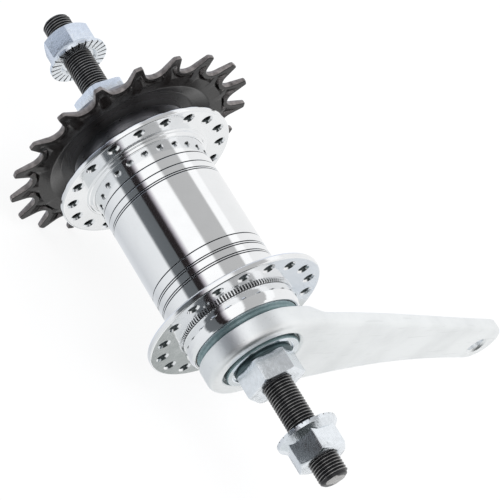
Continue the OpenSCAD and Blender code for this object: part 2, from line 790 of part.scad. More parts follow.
module brake_lock_washer() color([0.2, 0.2, 0.21])
  turned() polygon([[thread_bore, dished_floor_y],
    [lock_washer_r - lock_washer_ease, dished_floor_y],
    [lock_washer_r, dished_floor_y - lock_washer_ease],
    [lock_washer_r, brake_locknut_y + lock_washer_ease],
    [lock_washer_r - lock_washer_ease, brake_locknut_y],
    [thread_bore, brake_locknut_y]]);

axle();
drive_axle_nut();
brake_axle_nut();
drive_locknut();
drive_lock_washer();
drive_cone();
small_ball_cage();
small_balls();
driver_dust_cap();
driver();
sprocket();
snap_ring();
drive_ball_cage();
drive_balls();
drive_dust_ring();
hub_barrel();
drive_flange();
brake_flange();
clutch_cone();
retarder_spring();
brake_shoe_upper_front();
brake_shoe_upper_rear();
brake_shoe_lower_rear();
brake_shoe_lower_front();
brake_cone();
brake_ball_cage();
brake_balls();
brake_dust_cap();
brake_arm();
arm_dished_washer();
brake_lock_washer();
brake_locknut();
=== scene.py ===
"""Looks of a coaster brake hub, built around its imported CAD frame.

The axle lies along Y, the sprocket end is +Y, the brake arm points along +X
and +Z is up. Outlines are written in millimetres, meshes are made in metres.
"""

import json
import math

import bmesh
import bpy
from bpy.props import FloatProperty, FloatVectorProperty, IntProperty
from mathutils import Matrix, Vector


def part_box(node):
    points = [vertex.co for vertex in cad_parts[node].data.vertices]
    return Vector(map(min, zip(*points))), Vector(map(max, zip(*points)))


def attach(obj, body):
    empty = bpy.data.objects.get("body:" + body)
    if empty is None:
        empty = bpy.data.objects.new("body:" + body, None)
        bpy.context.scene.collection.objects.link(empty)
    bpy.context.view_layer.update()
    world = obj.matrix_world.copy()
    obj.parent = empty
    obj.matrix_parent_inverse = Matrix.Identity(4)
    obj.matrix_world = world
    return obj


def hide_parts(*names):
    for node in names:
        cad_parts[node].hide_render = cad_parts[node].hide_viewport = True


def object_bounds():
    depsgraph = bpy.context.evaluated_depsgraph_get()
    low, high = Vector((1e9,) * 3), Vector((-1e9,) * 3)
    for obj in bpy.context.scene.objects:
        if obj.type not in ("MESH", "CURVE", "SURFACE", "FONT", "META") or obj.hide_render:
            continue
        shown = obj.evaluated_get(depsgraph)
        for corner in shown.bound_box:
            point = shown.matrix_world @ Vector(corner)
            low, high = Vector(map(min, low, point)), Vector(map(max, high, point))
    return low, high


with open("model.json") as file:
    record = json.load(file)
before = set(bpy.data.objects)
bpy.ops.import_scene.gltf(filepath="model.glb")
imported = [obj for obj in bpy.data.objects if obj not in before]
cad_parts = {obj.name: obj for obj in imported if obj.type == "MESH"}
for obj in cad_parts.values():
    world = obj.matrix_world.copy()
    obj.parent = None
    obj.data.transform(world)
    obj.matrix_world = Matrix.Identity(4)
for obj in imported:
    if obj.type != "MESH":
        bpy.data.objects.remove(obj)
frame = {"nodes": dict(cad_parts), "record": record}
CAD_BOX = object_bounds()
RECORD = frame["record"]
SLOT_OF = {part["node"]: part["material_slot"] for part in RECORD["subparts"]}
BODY_OF = {
    node: body
    for body, nodes in RECORD["behaviour"]["bodies"].items()
    for node in nodes
}

bl_info = {
    "name": "Coaster brake hub",
    "version": (1, 0, 0),
    "blender": (4, 5, 0),
    "location": "View3D > Sidebar > Hub",
    "description": "Builds the visible pieces of a coaster brake hub",
    "category": "Add Mesh",
}

MM = 0.001
ROUND_STEPS = 144
FINE_STEPS = 180
AXLE_STEPS = 48
LEAST_LENGTH = 0.0001

# the camera that was fitted to the photograph
FOCAL_PIXELS = 2040.47
PHOTO_WIDTH = 500
SENSOR_WIDTH = 36.0
CAMERA_SPOT = (-0.484020, -0.253040, 0.312155)
CAMERA_RIGHT = (0.614341, -0.490264, 0.618245)
CAMERA_UP = (0.00005, 0.783564, 0.621311)
CAMERA_BACK = (-0.789041, -0.381666, 0.481400)


# properties


def length(name, description, default):
    """A length property in metres."""
    return FloatProperty(
        name=name,
        description=description,
        default=default,
        min=LEAST_LENGTH,
        subtype="DISTANCE",
        unit="LENGTH",
    )


def colour(name, description, default):
    """A linear colour property."""
    return FloatVectorProperty(
        name=name,
        description=description,
        default=default,
        min=0.0,
        max=1.0,
        size=3,
        subtype="COLOR",
    )


class HubAxleSizes(bpy.types.PropertyGroup):
    """Sizes of the axle and its nuts"""

    radius: length("Axle radius", "Radius over the thread crests", 0.0047625)
    pitch: length("Thread pitch", "Distance between two thread crests", 0.000977)
    depth: length("Thread depth", "From crest to root", 0.00058)
    chamfer: length("End chamfer", "Taper at both ends of the axle", 0.001)
    thread_start: length("Thread start", "Where the thread starts from the middle", 0.05)
    serrations: IntProperty(
        name="Serrations",
        description="Serrations on the flange of an axle nut",
        default=25,
        min=12,
        max=60,
    )


class HubShellSizes(bpy.types.PropertyGroup):
    """Sizes of the hub shell"""

    holes: IntProperty(
        name="Spoke holes",
        description="Spoke holes in one flange",
        default=18,
        min=12,
        max=24,
    )
    hole_radius: length("Hole radius", "Radius of a spoke hole", 0.00135)
    ticks: IntProperty(
        name="Knurl ticks",
        description="Ridges of the knurled land beside a flange",
        default=126,
        min=60,
        max=240,
    )


class HubSprocketSizes(bpy.types.PropertyGroup):
    """Sizes of the sprocket"""

    teeth: IntProperty(
        name="Teeth", description="Number of teeth", default=19, min=14, max=24
    )
    chain_pitch: length("Chain pitch", "Pitch of the chain", 0.0127)
    roller: length("Roller diameter", "Diameter of the chain's rollers", 0.00777)
    turn: FloatProperty(
        name="Tooth turn",
        description="Angle from +X to the first tooth",
        default=math.radians(14.15),
        subtype="ANGLE",
        unit="ROTATION",
    )


class HubFinishes(bpy.types.PropertyGroup):
    """Colours of the finishes"""

    chrome: colour("Chrome", "Chrome plate of the shell", (0.90, 0.91, 0.92))
    zinc: colour("Zinc plate", "Bright zinc of nuts and caps", (0.84, 0.88, 0.92))
    satin: colour("Satin zinc", "Satin zinc of the brake arm", (0.93, 0.95, 0.955))
    black: colour("Satin black", "Black of the sprocket", (0.006, 0.0055, 0.0055))
    oxide: colour("Black oxide", "Black oxide of the axle", (0.012, 0.012, 0.013))


class HubStage(bpy.types.PropertyGroup):
    """Camera, floor and background"""

    focal: FloatProperty(
        name="Focal length",
        description="Focal length on a 36 mm wide sensor",
        default=FOCAL_PIXELS / PHOTO_WIDTH * SENSOR_WIDTH,
        min=20.0,
    )
    whiteness: FloatProperty(
        name="Floor whiteness",
        description="How far the camera sees the floor as plain white",
        default=0.85,
        min=0.0,
        max=1.0,
    )
    background: FloatProperty(
        name="Background",
        description="Brightness of the white background",
        default=1.0,
        min=0.0,
        max=1.0,
    )


# mesh making


def rounded(points, closed=True, step=14.0):
    """Points of an outline, where a third number is the radius of a corner's rounding.

    Every rounding gets a support point on each side, so that the flats beside it
    keep their own shading.
    """
    out = []
    count = len(points)
    for i, point in enumerate(points):
        here = Vector(point[:2])
        radius = point[2] if len(point) > 2 else 0.0
        if not closed and i in (0, count - 1):
            radius = 0.0
        if radius <= 0.0:
            out.append(tuple(here))
            continue
        before = Vector(points[i - 1][:2]) - here
        after = Vector(points[(i + 1) % count][:2]) - here
        len_a, len_b = before.length, after.length
        before.normalize()
        after.normalize()
        inside = math.acos(max(-1.0, min(1.0, before.dot(after))))
        turn = math.pi - inside
        if turn < math.radians(4):
            out.append(tuple(here))
            continue
        reach = radius / math.tan(inside / 2)
        most = 0.46 * min(len_a, len_b)
        if reach > most:
            reach = most
            radius = reach * math.tan(inside / 2)
        start, end = here + before * reach, here + after * reach
        centre = here + (before + after).normalized() * (radius / math.sin(inside / 2))
        spare = min(0.1, 0.3 * (min(len_a, len_b) - reach))
        parts = max(2, int(math.degrees(turn) / step + 0.5))
        out.append(tuple(start + before * spare))
        first, last = start - centre, end - centre
        sweep = math.atan2(first.x * last.y - first.y * last.x, first.dot(last))
        for k in range(parts + 1):
            angle = sweep * k / parts
            c, s = math.cos(angle), math.sin(angle)
            out.append(
                (
                    centre.x + first.x * c - first.y * s,
                    centre.y + first.x * s + first.y * c,
                )
            )
        out.append(tuple(end + after * spare))
    return out


def link(name, mesh):
    """An object of that mesh in the scene."""
    obj = bpy.data.objects.new(name, mesh)
    bpy.context.scene.collection.objects.link(obj)
    return obj


def from_faces(name, points, faces, outward=True):
    """An object from points in mm and faces."""
    mesh = bpy.data.meshes.new(name)
    mesh.from_pydata([tuple(c * MM for c in p) for p in points], [], faces)
    bm = bmesh.new()
    bm.from_mesh(mesh)
    bmesh.ops.remove_doubles(bm, verts=bm.verts, dist=1e-7)
    if outward:
        bmesh.ops.recalc_face_normals(bm, faces=bm.faces)
    bm.to_mesh(mesh)
    bm.free()
    return link(name, mesh)


def turned(name, outline, steps=ROUND_STEPS, closed=True):
    """A body turned about the Y axis from an outline of radius and Y in mm."""
    points, rows = [], []
    for r, y in outline:
        if r < 1e-4:
            rows.append([len(points)] * steps)
            points.append((0.0, y, 0.0))
            continue
        rows.append(list(range(len(points), len(points) + steps)))
        for k in range(steps):
            a = 2 * math.pi * k / steps
            points.append((r * math.cos(a), y, r * math.sin(a)))
    faces = []
    for i in range(len(rows) if closed else len(rows) - 1):
        a, b = rows[i], rows[(i + 1) % len(rows)]
        for k in range(steps):
            m = (k + 1) % steps
            face = list(dict.fromkeys((a[k], a[m], b[m], b[k])))
            if len(face) > 2:
                faces.append(face)
    return from_faces(name, points, faces)


def prism(name, outline, y0, y1):
    """A prism of an outline of X and Z in mm, between two Y values."""
    n = len(outline)
    points = [(x, y0, z) for x, z in outline] + [(x, y1, z) for x, z in outline]
    faces = [[i, (i + 1) % n, n + (i + 1) % n, n + i] for i in range(n)]
    faces += [list(range(n)), list(range(2 * n - 1, n - 1, -1))]
    return from_faces(name, points, faces)


def hexagon(flats, turn):
    """Corners of a hexagon in X and Z."""
    return [
        (
            flats / math.sqrt(3) * math.cos(math.radians(turn + 60 * k)),
            flats / math.sqrt(3) * math.sin(math.radians(turn + 60 * k)),
        )
        for k in range(6)
    ]


def evaluated(obj, name=None):
    """The object's modifiers turned into a plain mesh, and the object kept."""
    bpy.context.view_layer.update()
    graph = bpy.context.evaluated_depsgraph_get()
    mesh = bpy.data.meshes.new_from_object(
        obj.evaluated_get(graph), preserve_all_data_layers=True, depsgraph=graph
    )
    old = obj.data
    obj.modifiers.clear()
    obj.data = mesh
    if old.users == 0:
        bpy.data.meshes.remove(old)
    if name:
        obj.name = name
        mesh.name = name
    return obj


def drop(*objects):
    """Removes helper objects."""
    for obj in objects:
        mesh = obj.data
        bpy.data.objects.remove(obj)
        if mesh and mesh.users == 0:
            bpy.data.meshes.remove(mesh)


def combined(obj, other, operation):
    """The object cut by, joined to or kept inside another, which is removed."""
    mod = obj.modifiers.new("combine", "BOOLEAN")
    mod.operation = operation
    mod.solver = "EXACT"
    mod.object = other
    evaluated(obj)
    drop(other)
    return obj


def joined(obj, *others):
    """Other objects' meshes added to the object's mesh."""
    bm = bmesh.new()
    bm.from_mesh(obj.data)
    for other in others:
        bm.from_mesh(other.data)
    bm.to_mesh(obj.data)
    bm.free()
    drop(*others)
    return obj


def bevelled(obj, width, segments=2, degrees=32):
    """Fine rounding of the object's edges, width in mm."""
    mod = obj.modifiers.new("edges", "BEVEL")
    mod.width = width * MM
    mod.segments = segments
    mod.limit_method = "ANGLE"
    mod.angle_limit = math.radians(degrees)
    mod.use_clamp_overlap = True
    mod.miter_outer = "MITER_SHARP"
    return evaluated(obj)


def shaded(obj, degrees=32):
    """Smooth shading that keeps the sharp edges."""
    obj.data.shade_smooth()
    obj.data.set_sharp_from_angle(angle=math.radians(degrees))
    return obj


def mark_painted_shade(obj, inside):
    """Marks the faces of recesses that get painted shade, found by radius and Y in mm and
    normal.
    """
    mesh = obj.data
    # this face attribute marks where the finishes paint shade into the colour
    mark = mesh.attributes.get("painted_shade") or mesh.attributes.new("painted_shade", "FLOAT", "FACE")
    for face in mesh.polygons:
        x, y, z = (c / MM for c in face.center)
        if inside(math.hypot(x, z), y, face.normal):
            mark.data[face.index].value = 1.0


def cad_copy(node, name, width=0.0, degrees=32):
    """A cleaned copy of a CAD node's mesh, with fine edges."""
    mesh = frame["nodes"][node].data.copy()
    mesh.materials.clear()
    bm = bmesh.new()
    bm.from_mesh(mesh)
    bmesh.ops.remove_doubles(bm, verts=bm.verts, dist=2e-7)
    bmesh.ops.dissolve_limit(
        bm,
        angle_limit=math.radians(0.5),
        verts=bm.verts,
        edges=bm.edges,
        delimit={"NORMAL"},
    )
    bmesh.ops.recalc_face_normals(bm, faces=bm.faces)
    bm.to_mesh(mesh)
    bm.free()
    obj = link(name, mesh)
    if width:
        bevelled(obj, width, 2, degrees)
    return shaded(obj, degrees)


def finished(obj, node, material, *more_nodes):
    """Gives a piece its finish, its body and the CAD nodes it stands for."""
    obj.data.materials.clear()
    obj.data.materials.append(material)
    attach(obj, BODY_OF[node])
    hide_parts(node, *more_nodes)
    return obj


# geometry nodes


class Nodes:
    """Short calls that add and link nodes in a tree."""

    def __init__(self, tree):
        self.tree = tree

    def new(self, kind, inputs=None, **settings):
        node = self.tree.nodes.new(kind)
        for key, value in settings.items():
            setattr(node, key, value)
        for key, value in (inputs or {}).items():
            self.put(node.inputs[key], value)
        return node

    def put(self, socket, value):
        if isinstance(value, bpy.types.NodeSocket):
            self.tree.links.new(value, socket)
        else:
            socket.default_value = value

    def math(self, operation, a, b=0.0, c=0.0):
        node = self.new("ShaderNodeMath", {0: a, 1: b}, operation=operation)
        if operation in ("MULTIPLY_ADD", "COMPARE"):
            self.put(node.inputs[2], c)
        return node.outputs[0]

    def add(self, a, b):
        return self.math("ADD", a, b)

    def sub(self, a, b):
        return self.math("SUBTRACT", a, b)

    def mul(self, a, b):
        return self.math("MULTIPLY", a, b)

    def div(self, a, b):
        return self.math("DIVIDE", a, b)

    def least(self, a, b):
        return self.math("MINIMUM", a, b)

    def most(self, a, b):
        return self.math("MAXIMUM", a, b)


def new_tree(name, sockets):
    """A geometry node tree with named inputs, its helper and its input node."""
    tree = bpy.data.node_groups.new(name, "GeometryNodeTree")
    for socket, kind, default in sockets:
        item = tree.interface.new_socket(socket, in_out="INPUT", socket_type=kind)
        if default is not None:
            item.default_value = default
    tree.interface.new_socket(
        "Geometry", in_out="OUTPUT", socket_type="NodeSocketGeometry"
    )
    nodes = Nodes(tree)
    return tree, nodes, nodes.new("NodeGroupInput")


def end_tree(nodes, start, geometry):
    """Ends a tree in real geometry with its material."""
    real = nodes.new("GeometryNodeRealizeInstances", {"Geometry": geometry})
    coat = nodes.new(
        "GeometryNodeSetMaterial",
        {"Geometry": real.outputs[0], "Material": start.outputs["Material"]},
    )
    nodes.new("NodeGroupOutput", {"Geometry": coat.outputs[0]})


def thread_tree():
    """A helical thread about Y from Start to End, with a taper at its end."""
    if "Helical thread" in bpy.data.node_groups:
        return bpy.data.node_groups["Helical thread"]
    tree, n, start = new_tree(
        "Helical thread",
        [
            ("Geometry", "NodeSocketGeometry", None),
            ("Radius", "NodeSocketFloat", 0.0047625),
            ("Pitch", "NodeSocketFloat", 0.000977),
            ("Depth", "NodeSocketFloat", 0.0006),
            ("Start", "NodeSocketFloat", 0.0),
            ("End", "NodeSocketFloat", 0.04),
            ("Chamfer", "NodeSocketFloat", 0.001),
            ("Segments", "NodeSocketInt", 48),
            ("Material", "NodeSocketMaterial", None),
        ],
    )
    value = start.outputs
    pitch, around = value["Pitch"], value["Segments"]
    run = n.sub(value["End"], value["Start"])
    turns = n.add(n.math("CEIL", n.div(run, pitch)), 3.0)
    rows = n.mul(turns, 4.0)
    last_row = n.sub(rows, 1.0)
    grid = n.new(
        "GeometryNodeMeshGrid",
        {
            "Size X": last_row,
            "Size Y": around,
            "Vertices X": rows,
            "Vertices Y": n.add(around, 1.0),
        },
    )
    place = n.new("GeometryNodeInputPosition")
    split = n.new("ShaderNodeSeparateXYZ", {0: place.outputs[0]})
    row = n.math("ROUND", n.add(split.outputs[0], n.mul(last_row, 0.5)))
    share = n.div(n.add(split.outputs[1], n.mul(around, 0.5)), around)
    turn = n.math("FLOOR", n.mul(n.add(row, 0.5), 0.25))
    spot = n.sub(row, n.mul(turn, 4.0))
    odd = n.math("ROUND", n.math("MODULO", spot, 2.0))
    part = n.mul(n.add(n.add(n.mul(spot, 4.0), 1.0), n.mul(odd, 2.0)), 0.0625)
    crest = n.math("LESS_THAN", n.math("ABSOLUTE", n.sub(spot, 1.5)), 1.0)
    along = n.add(
        value["Start"], n.mul(pitch, n.sub(n.add(turn, part), n.add(share, 1.0)))
    )
    flank = n.sub(value["Radius"], n.mul(value["Depth"], n.sub(1.0, crest)))
    over = n.sub(along, value["End"])
    under = n.sub(value["Start"], along)
    tip = n.sub(value["Radius"], value["Chamfer"])
    taper = n.sub(value["Radius"], n.most(n.add(over, value["Chamfer"]), 0.0))
    in_range = n.least(flank, n.most(taper, 0.0))
    lid = n.mul(
        tip, n.most(n.sub(1.0, n.div(n.most(over, under), n.mul(pitch, 0.4))), 0.0)
    )
    beyond = n.math("GREATER_THAN", n.most(over, under), 0.0)
    radius = n.add(n.mul(beyond, lid), n.mul(n.sub(1.0, beyond), in_range))
    y = n.least(n.most(along, value["Start"]), value["End"])
    angle = n.mul(share, 2 * math.pi)
    spread = n.new(
        "ShaderNodeCombineXYZ",
        {
            0: n.mul(radius, n.math("COSINE", angle)),
            1: y,
            2: n.mul(radius, n.math("SINE", angle)),
        },
    )
    moved = n.new(
        "GeometryNodeSetPosition",
        {"Geometry": grid.outputs["Mesh"], "Position": spread.outputs[0]},
    )
    merged = n.new(
        "GeometryNodeMergeByDistance",
        {"Geometry": moved.outputs[0], "Distance": 1e-6},
    )
    end_tree(n, start, merged.outputs[0])
    return tree


def ring_points(n, start):
    """Points at the origin and their turns about Y, for a ring of copies."""
    line = n.new(
        "GeometryNodeMeshLine",
        {"Count": start.outputs["Count"], "Offset": (0.0, 0.0, 0.0)},
        mode="OFFSET",
    )
    index = n.new("GeometryNodeInputIndex")
    step = n.div(2 * math.pi, start.outputs["Count"])
    angle = n.add(n.mul(index.outputs[0], step), start.outputs["Turn"])
    euler = n.new("ShaderNodeCombineXYZ", {1: n.mul(angle, -1.0)})
    turn = n.new("FunctionNodeEulerToRotation", {0: euler.outputs[0]})
    return line.outputs[0], turn.outputs[0]


def ring_tree():
    """Copies of the geometry all round the Y axis, merged where they touch."""
    if "Copies all round" in bpy.data.node_groups:
        return bpy.data.node_groups["Copies all round"]
    tree, n, start = new_tree(
        "Copies all round",
        [
            ("Geometry", "NodeSocketGeometry", None),
            ("Count", "NodeSocketInt", 12),
            ("Turn", "NodeSocketFloat", 0.0),
            ("Merge", "NodeSocketFloat", 0.000001),
            ("Material", "NodeSocketMaterial", None),
        ],
    )
    points, turn = ring_points(n, start)
    copies = n.new(
        "GeometryNodeInstanceOnPoints",
        {"Points": points, "Instance": start.outputs["Geometry"], "Rotation": turn},
    )
    real = n.new("GeometryNodeRealizeInstances", {"Geometry": copies.outputs[0]})
    merged = n.new(
        "GeometryNodeMergeByDistance",
        {"Geometry": real.outputs[0], "Distance": start.outputs["Merge"]},
    )
    end_tree(n, start, merged.outputs[0])
    return tree


def cut_tree():
    """The geometry with a cutter taken away all round the Y axis."""
    if "Cuts all round" in bpy.data.node_groups:
        return bpy.data.node_groups["Cuts all round"]
    tree, n, start = new_tree(
        "Cuts all round",
        [
            ("Geometry", "NodeSocketGeometry", None),
            ("Cutter", "NodeSocketObject", None),
            ("Count", "NodeSocketInt", 18),
            ("Turn", "NodeSocketFloat", 0.0),
            ("Material", "NodeSocketMaterial", None),
        ],
    )
    points, turn = ring_points(n, start)
    cutter = n.new(
        "GeometryNodeObjectInfo",
        {"Object": start.outputs["Cutter"], "As Instance": False},
        transform_space="ORIGINAL",
    )
    copies = n.new(
        "GeometryNodeInstanceOnPoints",
        {"Points": points, "Instance": cutter.outputs["Geometry"], "Rotation": turn},
    )
    real = n.new("GeometryNodeRealizeInstances", {"Geometry": copies.outputs[0]})
    cut = n.new(
        "GeometryNodeMeshBoolean",
        {"Mesh 1": start.outputs["Geometry"], "Mesh 2": real.outputs[0]},
        operation="DIFFERENCE",
        solver="EXACT",
    )
    end_tree(n, start, cut.outputs["Mesh"])
    return tree


def grown(obj, tree, **inputs):
    """The object with a node tree applied to it. Inputs go by their names."""
    mod = obj.modifiers.new(tree.name, "NODES")
    mod.node_group = tree
    for item in tree.interface.items_tree:
        if item.item_type == "SOCKET" and item.in_out == "INPUT":
            if item.name in inputs:
                mod[item.identifier] = inputs[item.name]
    obj.update_tag()
    return evaluated(obj)


# finishes


def new_finish(name):
    """A material with its helper, its shader node and its object coordinates."""
    material = bpy.data.materials.new(name)
    material.use_nodes = True
    tree = material.node_tree
    tree.nodes.clear()
    n = Nodes(tree)
    out = n.new("ShaderNodeOutputMaterial")
    shader = n.new("ShaderNodeBsdfPrincipled")
    tree.links.new(shader.outputs[0], out.inputs["Surface"])
    place = n.new("ShaderNodeTexCoord").outputs["Object"]
    return material, n, shader, place


def noise(n, place, scale, detail=3.0, rough=0.5, stretch=None):
    """A noise between 0 and 1 at that scale per metre."""
    if stretch:
        mapping = n.new("ShaderNodeMapping", {"Vector": place, "Scale": stretch})
        place = mapping.outputs[0]
    return n.new(
        "ShaderNodeTexNoise",
        {"Vector": place, "Scale": scale, "Detail": detail, "Roughness": rough},
    ).outputs["Fac"]


def ramp(n, factor, stops):
    """A colour ramp of (position, colour) stops."""
    node = n.new("ShaderNodeValToRGB", {"Fac": factor})
    band = node.color_ramp
    while len(band.elements) > 1:
        band.elements.remove(band.elements[-1])
    for i, (position, shade) in enumerate(stops):
        element = band.elements[0] if i == 0 else band.elements.new(position)
        element.position = position
        element.color = (*shade, 1.0) if len(shade) == 3 else shade
    return node.outputs[0]


def between(n, factor, low, high):
    """A number that goes from low to high as the factor goes from 0 to 1."""
    return n.add(n.mul(factor, high - low), low)


def blend(n, factor, a, b):
    """A mix of two colours."""
    node = n.new("ShaderNodeMix", {"Factor": factor}, data_type="RGBA")
    for socket, value in ((node.inputs[6], a), (node.inputs[7], b)):
        if isinstance(value, (tuple, list)) or hasattr(value, "foreach_get"):
            value = tuple(value)[:3] + (1.0,)
        n.put(socket, value)
    return node.outputs[2]


def times(colour_value, factor):
    """A colour made darker or lighter."""
    return tuple(min(1.0, c * factor) for c in tuple(colour_value)[:3])


def bump(n, height, strength, distance):
    """A bump normal from a height."""
    return n.new(
        "ShaderNodeBump",
        {"Height": height, "Strength": strength, "Distance": distance},
    ).outputs[0]


def radius_of(n, place):
    """Distance of a point from the axle's axis, and its separate coordinates."""
    split = n.new("ShaderNodeSeparateXYZ", {0: place})
    x, z = split.outputs[0], split.outputs[2]
    return n.math("SQRT", n.add(n.mul(x, x), n.mul(z, z))), split


def plated(
    name,
    shade,
    rough,
    spread,
    mottle,
    turning,
    grain=900.0,
    wave=0.0,
    clouds_scale=140.0,
    sparkle=0.25,
    ripple=0.0,
    # colour of the painted shade on marked recess faces, and depth, how strongly it shows
    shade_colour=(0.012, 0.012, 0.014),
    depth=0.92,
):
    """A plated metal: mottled colour, uneven gloss and fine marks.

    rough and spread give the gloss, mottle the darkening of the clouds, turning
    the strength of the lathe marks, wave that of slow unevenness, ripple that of
    the clouds and sparkle that of the fine grain. Marked recess faces turn to the
    shade colour, a painted shade, as strongly as depth says.
    """
    material, n, shader, place = new_finish(name)
    clouds = noise(n, place, clouds_scale, 4.0, 0.6)
    specks = noise(n, place, grain, 2.0, 0.6)
    # painted shade: marked recess faces darken towards the shade colour under any light
    painted_shade = n.new("ShaderNodeAttribute", attribute_name="painted_shade").outputs["Fac"]
    painted_shade = n.mul(painted_shade, between(n, specks, depth - 0.12, min(1.0, depth + 0.12)))
    patches = n.new(
        "ShaderNodeMapRange",
        {"Value": clouds, "From Min": 0.35, "From Max": 0.65},
    ).outputs[0]
    base = blend(n, patches, times(shade, 1.0 - mottle), tuple(shade))
    n.put(shader.inputs["Base Color"], blend(n, painted_shade, base, shade_colour))
    gloss = n.add(
        between(n, specks, 0.0, spread), between(n, clouds, rough, rough + spread)
    )
    n.put(shader.inputs["Roughness"], n.add(gloss, n.mul(painted_shade, 0.35)))
    shader.inputs["Metallic"].default_value = 1.0
    marks = noise(n, place, 1.0, 2.0, 0.7, (4.0, 9000.0, 4.0))
    height = n.add(n.mul(marks, turning), n.mul(specks, sparkle * spread))
    if ripple:
        height = n.add(height, n.mul(clouds, ripple))
    if wave:
        height = n.add(height, n.mul(noise(n, place, 60.0, 1.0), wave))
    n.put(shader.inputs["Normal"], bump(n, height, 0.35, 0.0002))
    return material


def satin_plate(name, shade):
    """Satin zinc on pressed sheet: faint stains, scratches and a soft grain."""
    material, n, shader, place = new_finish(name)
    clouds = noise(n, place, 55.0, 5.0, 0.62)
    stains = n.new(
        "ShaderNodeMapRange", {"Value": clouds, "From Min": 0.4, "From Max": 0.72}
    ).outputs[0]
    grain = noise(n, place, 2600.0, 2.0, 0.6)
    scratches = noise(n, place, 260.0, 2.0, 0.6, (0.25, 3.0, 3.5))
    fine = n.new(
        "ShaderNodeMapRange", {"Value": scratches, "From Min": 0.62, "From Max": 0.7}
    ).outputs[0]
    base = blend(n, stains, tuple(shade), times(shade, 0.93))
    base = blend(n, n.mul(fine, 0.35), base, times(shade, 0.82))
    n.put(shader.inputs["Base Color"], base)
    n.put(
        shader.inputs["Roughness"],
        n.add(between(n, stains, 0.36, 0.46), between(n, grain, -0.05, 0.08)),
    )
    shader.inputs["Metallic"].default_value = 1.0
    height = n.add(n.mul(grain, 0.35), n.mul(fine, -0.5))
    n.put(shader.inputs["Normal"], bump(n, height, 0.22, 0.00012))
    return material


# the sprocket's teeth start at this radius in metres
TEETH_FROM = 0.0335
WORN_STEEL = (0.30, 0.275, 0.27)
RUBBED_STEEL = (0.50, 0.49, 0.48)
# how far below a crest or an end face the rubbed steel shows, in metres
CREST_SKIN = 0.00009
END_SKIN = 0.00004


def black_paint(name, shade):
    """Satin black over steel: brown haze, and worn grey where the teeth are cut."""
    material, n, shader, place = new_finish(name)
    radius, _ = radius_of(n, place)
    haze = noise(n, place, 90.0, 4.0, 0.6)
    grain = noise(n, place, 1500.0, 2.0, 0.6)
    blotches = noise(n, place, 700.0, 3.0, 0.6)
    facing = n.new("ShaderNodeNewGeometry").outputs["True Normal"]
    lean = n.new("ShaderNodeSeparateXYZ", {0: facing})
    wall = n.math("LESS_THAN", n.math("ABSOLUTE", lean.outputs[1]), 0.6)
    outer = n.math("GREATER_THAN", radius, TEETH_FROM)
    worn = n.mul(n.mul(wall, outer), between(n, blotches, -0.25, 1.45))
    brown = (shade[0] * 1.8, shade[1] * 1.5, shade[2] * 1.4)
    body = blend(n, haze, tuple(shade), brown)
    n.put(shader.inputs["Base Color"], blend(n, worn, body, WORN_STEEL))
    n.put(
        shader.inputs["Roughness"],
        n.add(between(n, haze, 0.16, 0.24), between(n, grain, 0.0, 0.08)),
    )
    n.put(shader.inputs["Metallic"], n.mul(worn, 0.7))
    shader.inputs["Specular IOR Level"].default_value = 0.36
    n.put(shader.inputs["Normal"], bump(n, grain, 0.16, 0.0001))
    return material


def black_oxide(name, shade, crest_radius):
    """Black oxide, rubbed bright along the thread's crests."""
    material, n, shader, place = new_finish(name)
    radius, split = radius_of(n, place)
    clouds = noise(n, place, 260.0, 4.0, 0.6)
    grain = noise(n, place, 2600.0, 2.0, 0.6)
    crest = n.math("GREATER_THAN", radius, crest_radius - CREST_SKIN)
    rubbed = n.mul(crest, between(n, clouds, 0.1, 1.1))
    low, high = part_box("axle")
    drive_end = n.math("GREATER_THAN", split.outputs[1], high.y - END_SKIN)
    brake_end = n.math("LESS_THAN", split.outputs[1], low.y + END_SKIN)
    sawn = n.mul(n.add(drive_end, brake_end), between(n, grain, 0.5, 1.0))
    rubbed = n.most(rubbed, sawn)
    base = blend(n, clouds, tuple(shade), times(shade, 2.0))
    n.put(shader.inputs["Base Color"], blend(n, rubbed, base, RUBBED_STEEL))
    n.put(
        shader.inputs["Roughness"],
        n.add(between(n, clouds, 0.16, 0.3), between(n, grain, 0.0, 0.1)),
    )
    n.put(shader.inputs["Metallic"], between(n, rubbed, 0.35, 1.0))
    n.put(shader.inputs["Normal"], bump(n, grain, 0.2, 0.0001))
    return material


FINISHES = {}

# slot: name, shade, rough, spread, mottle, turning
PLAIN_FINISHES = {
    "dark_washer": ("Dark steel", (0.10, 0.145, 0.155), 0.26, 0.12, 0.4, 0.3),
    "plain_steel": ("Plain steel", (0.56, 0.56, 0.57), 0.22, 0.12, 0.15, 0.3),
    "hard_steel": ("Ground steel", (0.42, 0.42, 0.44), 0.18, 0.12, 0.18, 0.5),
    "spring_steel": ("Spring steel", (0.46, 0.48, 0.55), 0.16, 0.1, 0.15, 0.1),
    "cage_brass": ("Pressed brass", (0.78, 0.60, 0.30), 0.2, 0.12, 0.2, 0.1),
    "ball_steel": ("Ball steel", (0.86, 0.86, 0.88), 0.04, 0.03, 0.05, 0.0),
    "shoe_bronze": ("Turned bronze", (0.62, 0.42, 0.22), 0.28, 0.14, 0.25, 0.7),
}


